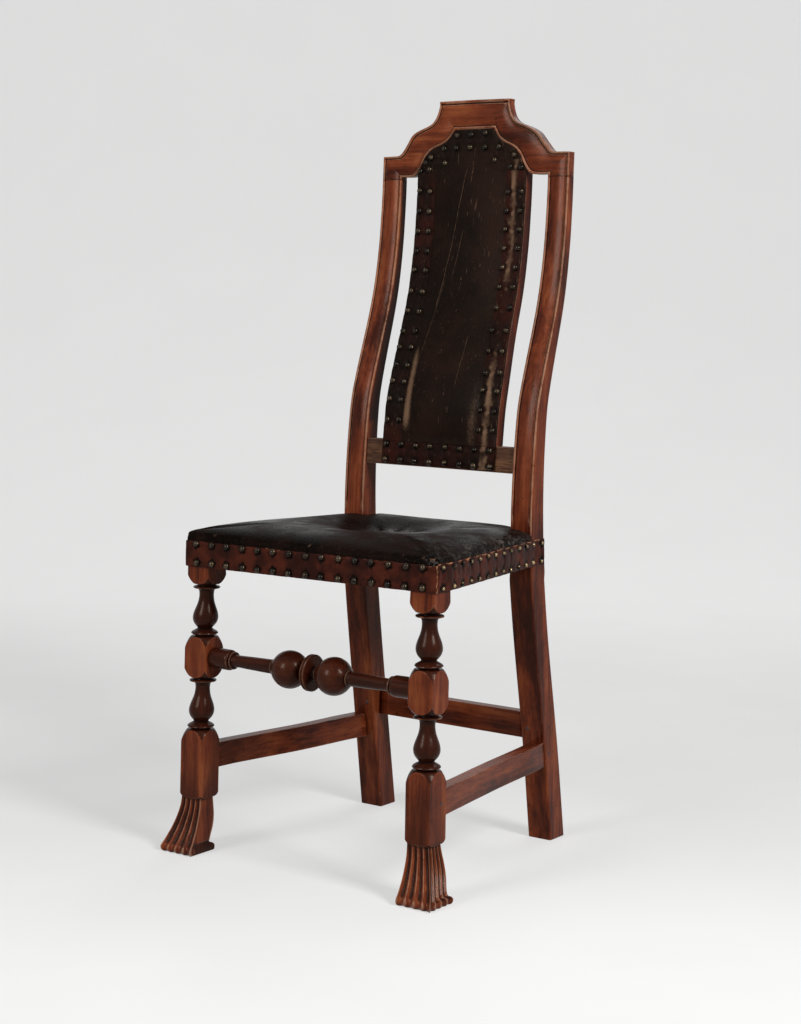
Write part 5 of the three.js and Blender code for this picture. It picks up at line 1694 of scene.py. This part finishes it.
def make_stage():
    look = bpy.context.scene.chair_stage
    flat, cove = 2.4, 3.2

    def place(u, v):
        """Flat to the cove behind the chair, and upright after it."""
        run = v * PAPER_LENGTH - PAPER_FRONT
        turn_by = min(max((run - flat) / cove, 0), math.pi / 2)
        y = min(run, flat) + cove * math.sin(turn_by)
        z = cove * (1 - math.cos(turn_by)) + max(0, run - flat - cove * math.pi / 2)
        return Vector(((u - 0.5) * 20, y, z)), 0.0

    paper = lay_sheet("studio_paper", 4, 180, place)
    paper.rotation_euler = (0, 0, -YAW)
    only(paper)
    bpy.ops.object.transform_apply(rotation=True)
    soften(paper, 60)
    paper.data.materials.append(studio_floor())

    world = bpy.data.worlds.new("studio_air")
    bpy.context.scene.world = world
    around = Nodes(world, "ShaderNodeOutputWorld")
    air, wall = (around.add("ShaderNodeBackground", None, {"Color": (*tone, 1), "Strength": power})
                 for tone, power in (((1, 1, 1), look.air), (look.wall, 1)))
    around.show("ShaderNodeMixShader", {0: around.seen(), 1: air, 2: wall})

    def lamp(name, place, size, power, target=(0, 0, 0.55)):
        bpy.ops.object.light_add(type="AREA", location=place)
        light = bpy.context.object
        light.name = name
        light.data.shape = "RECTANGLE"
        light.data.size, light.data.size_y = size
        light.data.energy = power
        aim = Vector(target) - Vector(place)
        light.rotation_euler = aim.to_track_quat("-Z", "Y").to_euler()

    lamp("key_light", (3.2, -0.7, 2.6), (1.0, 1.4), look.key)
    lamp("fill_light", (-0.8, -3.6, 2.0), (1.2, 1.6), look.fill)
    lamp("top_light", (-0.3, 2.2, 3.0), (1.8, 1.2), look.top)

    bpy.ops.object.camera_add(location=CAMERA)
    camera = bpy.context.object
    camera.name = "photo_camera"
    ahead = Vector((math.sin(YAW) * math.cos(PITCH), math.cos(YAW) * math.cos(PITCH),
                    math.sin(PITCH)))
    right = Vector((math.cos(YAW), -math.sin(YAW), 0))
    up = right.cross(ahead)
    right, up = (right * math.cos(ROLL) + up * math.sin(ROLL),
                 up * math.cos(ROLL) - right * math.sin(ROLL))
    turned = Matrix((right, up, -ahead)).transposed()
    camera.rotation_euler = turned.to_euler()
    camera.data.sensor_fit = "VERTICAL"
    camera.data.sensor_height = 36
    camera.data.lens = FOCAL * 36 / PICTURE_HEIGHT
    camera.data.shift_y = SHIFT / PICTURE_HEIGHT
    bpy.context.scene.camera = camera
    bpy.context.scene.view_settings.view_transform = "Standard"


# Operators
class CHAIR_OT_front_legs(bpy.types.Operator):
    """Turn and square the front legs, and carve their feet"""

    bl_idname = "chair.front_legs"
    bl_label = "Front Legs"

    def execute(self, context):
        make_front_legs()
        return {"FINISHED"}


class CHAIR_OT_rear_posts(bpy.types.Operator):
    """Shape the two crooked and moulded rear posts"""

    bl_idname = "chair.rear_posts"
    bl_label = "Rear Posts"

    def execute(self, context):
        make_rear_posts()
        return {"FINISHED"}


class CHAIR_OT_crest_rail(bpy.types.Operator):
    """Carve the moulded crest and its board"""

    bl_idname = "chair.crest_rail"
    bl_label = "Crest Rail"

    def execute(self, context):
        make_crest_rail()
        return {"FINISHED"}


class CHAIR_OT_stretchers(bpy.types.Operator):
    """Plane the side and rear stretchers"""

    bl_idname = "chair.stretchers"
    bl_label = "Stretchers"

    def execute(self, context):
        make_side_stretchers()
        make_rear_stretcher()
        return {"FINISHED"}


class CHAIR_OT_front_stretcher(bpy.types.Operator):
    """Turn the front stretcher"""

    bl_idname = "chair.front_stretcher"
    bl_label = "Front Stretcher"

    def execute(self, context):
        make_front_stretcher()
        return {"FINISHED"}


class CHAIR_OT_back_frame(bpy.types.Operator):
    """Plane the stay rail and the two stiles"""

    bl_idname = "chair.back_frame"
    bl_label = "Back Frame"

    def execute(self, context):
        make_stay_rail()
        make_back_stiles()
        return {"FINISHED"}


class CHAIR_OT_seat_frame(bpy.types.Operator):
    """Finish the seat rails"""

    bl_idname = "chair.seat_frame"
    bl_label = "Seat Frame"

    def execute(self, context):
        finish_seat_rails()
        return {"FINISHED"}


class CHAIR_OT_pegs(bpy.types.Operator):
    """Drive the pegs"""

    bl_idname = "chair.pegs"
    bl_label = "Pegs"

    def execute(self, context):
        make_pegs()
        return {"FINISHED"}


class CHAIR_OT_cloths(bpy.types.Operator):
    """Stretch the webs, the sacking and the linen"""

    bl_idname = "chair.cloths"
    bl_label = "Webbing and Cloth"

    def execute(self, context):
        make_seat_cloths()
        make_linen()
        return {"FINISHED"}


class CHAIR_OT_seat(bpy.types.Operator):
    """Cover and fill the seat"""

    bl_idname = "chair.seat"
    bl_label = "Seat Leather"

    def execute(self, context):
        make_seat()
        return {"FINISHED"}


class CHAIR_OT_back(bpy.types.Operator):
    """Cover and fill the back"""

    bl_idname = "chair.back"
    bl_label = "Back Leather"

    def execute(self, context):
        make_back_leather()
        return {"FINISHED"}


class CHAIR_OT_seat_bands(bpy.types.Operator):
    """Nail the bands round the seat"""

    bl_idname = "chair.seat_bands"
    bl_label = "Seat Bands"

    def execute(self, context):
        make_seat_bands()
        return {"FINISHED"}


class CHAIR_OT_back_borders(bpy.types.Operator):
    """Nail the borders round the back"""

    bl_idname = "chair.back_borders"
    bl_label = "Back Borders"

    def execute(self, context):
        make_back_borders()
        return {"FINISHED"}


class CHAIR_OT_nails(bpy.types.Operator):
    """Drive the domed nails"""

    bl_idname = "chair.nails"
    bl_label = "Brass Nails"

    def execute(self, context):
        make_nails()
        return {"FINISHED"}


class CHAIR_OT_stage(bpy.types.Operator):
    """Lay the paper and set the lamps and the camera"""

    bl_idname = "chair.stage"
    bl_label = "Stage"

    def execute(self, context):
        make_stage()
        return {"FINISHED"}


OPERATORS = (
    CHAIR_OT_front_legs, CHAIR_OT_rear_posts, CHAIR_OT_crest_rail, CHAIR_OT_stretchers,
    CHAIR_OT_front_stretcher, CHAIR_OT_back_frame, CHAIR_OT_seat_frame, CHAIR_OT_pegs,
    CHAIR_OT_cloths, CHAIR_OT_seat, CHAIR_OT_back, CHAIR_OT_seat_bands, CHAIR_OT_back_borders,
    CHAIR_OT_nails, CHAIR_OT_stage,
)


class CHAIR_PT_panel(bpy.types.Panel):
    """Lists the pieces and their finishes."""

    bl_idname = "CHAIR_PT_panel"
    bl_label = "Side Chair"
    bl_space_type = "VIEW_3D"
    bl_region_type = "UI"
    bl_category = "Side Chair"

    def draw(self, context):
        for kind in OPERATORS:
            self.layout.operator(kind.bl_idname)
        for name in GROUPS:
            box = self.layout.box()
            group = getattr(context.scene, name)
            for key in group.__annotations__:
                box.prop(group, key)


GROUPS = {
    "chair_wood": ChairWood, "chair_leather": ChairLeather, "chair_nails": ChairNails,
    "chair_cloth": ChairCloth, "chair_stage": ChairStage,
}


def register():
    for kind in (*GROUPS.values(), *OPERATORS, CHAIR_PT_panel):
        bpy.utils.register_class(kind)
    for name, kind in GROUPS.items():
        setattr(bpy.types.Scene, name, bpy.props.PointerProperty(type=kind))


def unregister():
    for name in GROUPS:
        delattr(bpy.types.Scene, name)
    for kind in (CHAIR_PT_panel, *reversed(OPERATORS), *reversed(tuple(GROUPS.values()))):
        bpy.utils.unregister_class(kind)


def main():
    register()
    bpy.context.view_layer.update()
    for kind in OPERATORS:
        result = getattr(bpy.ops.chair, kind.bl_idname.split(".")[1])()
        if result != {"FINISHED"}:
            raise RuntimeError(f"{kind.bl_label} did not finish")


if __name__ == "__main__":
    main()
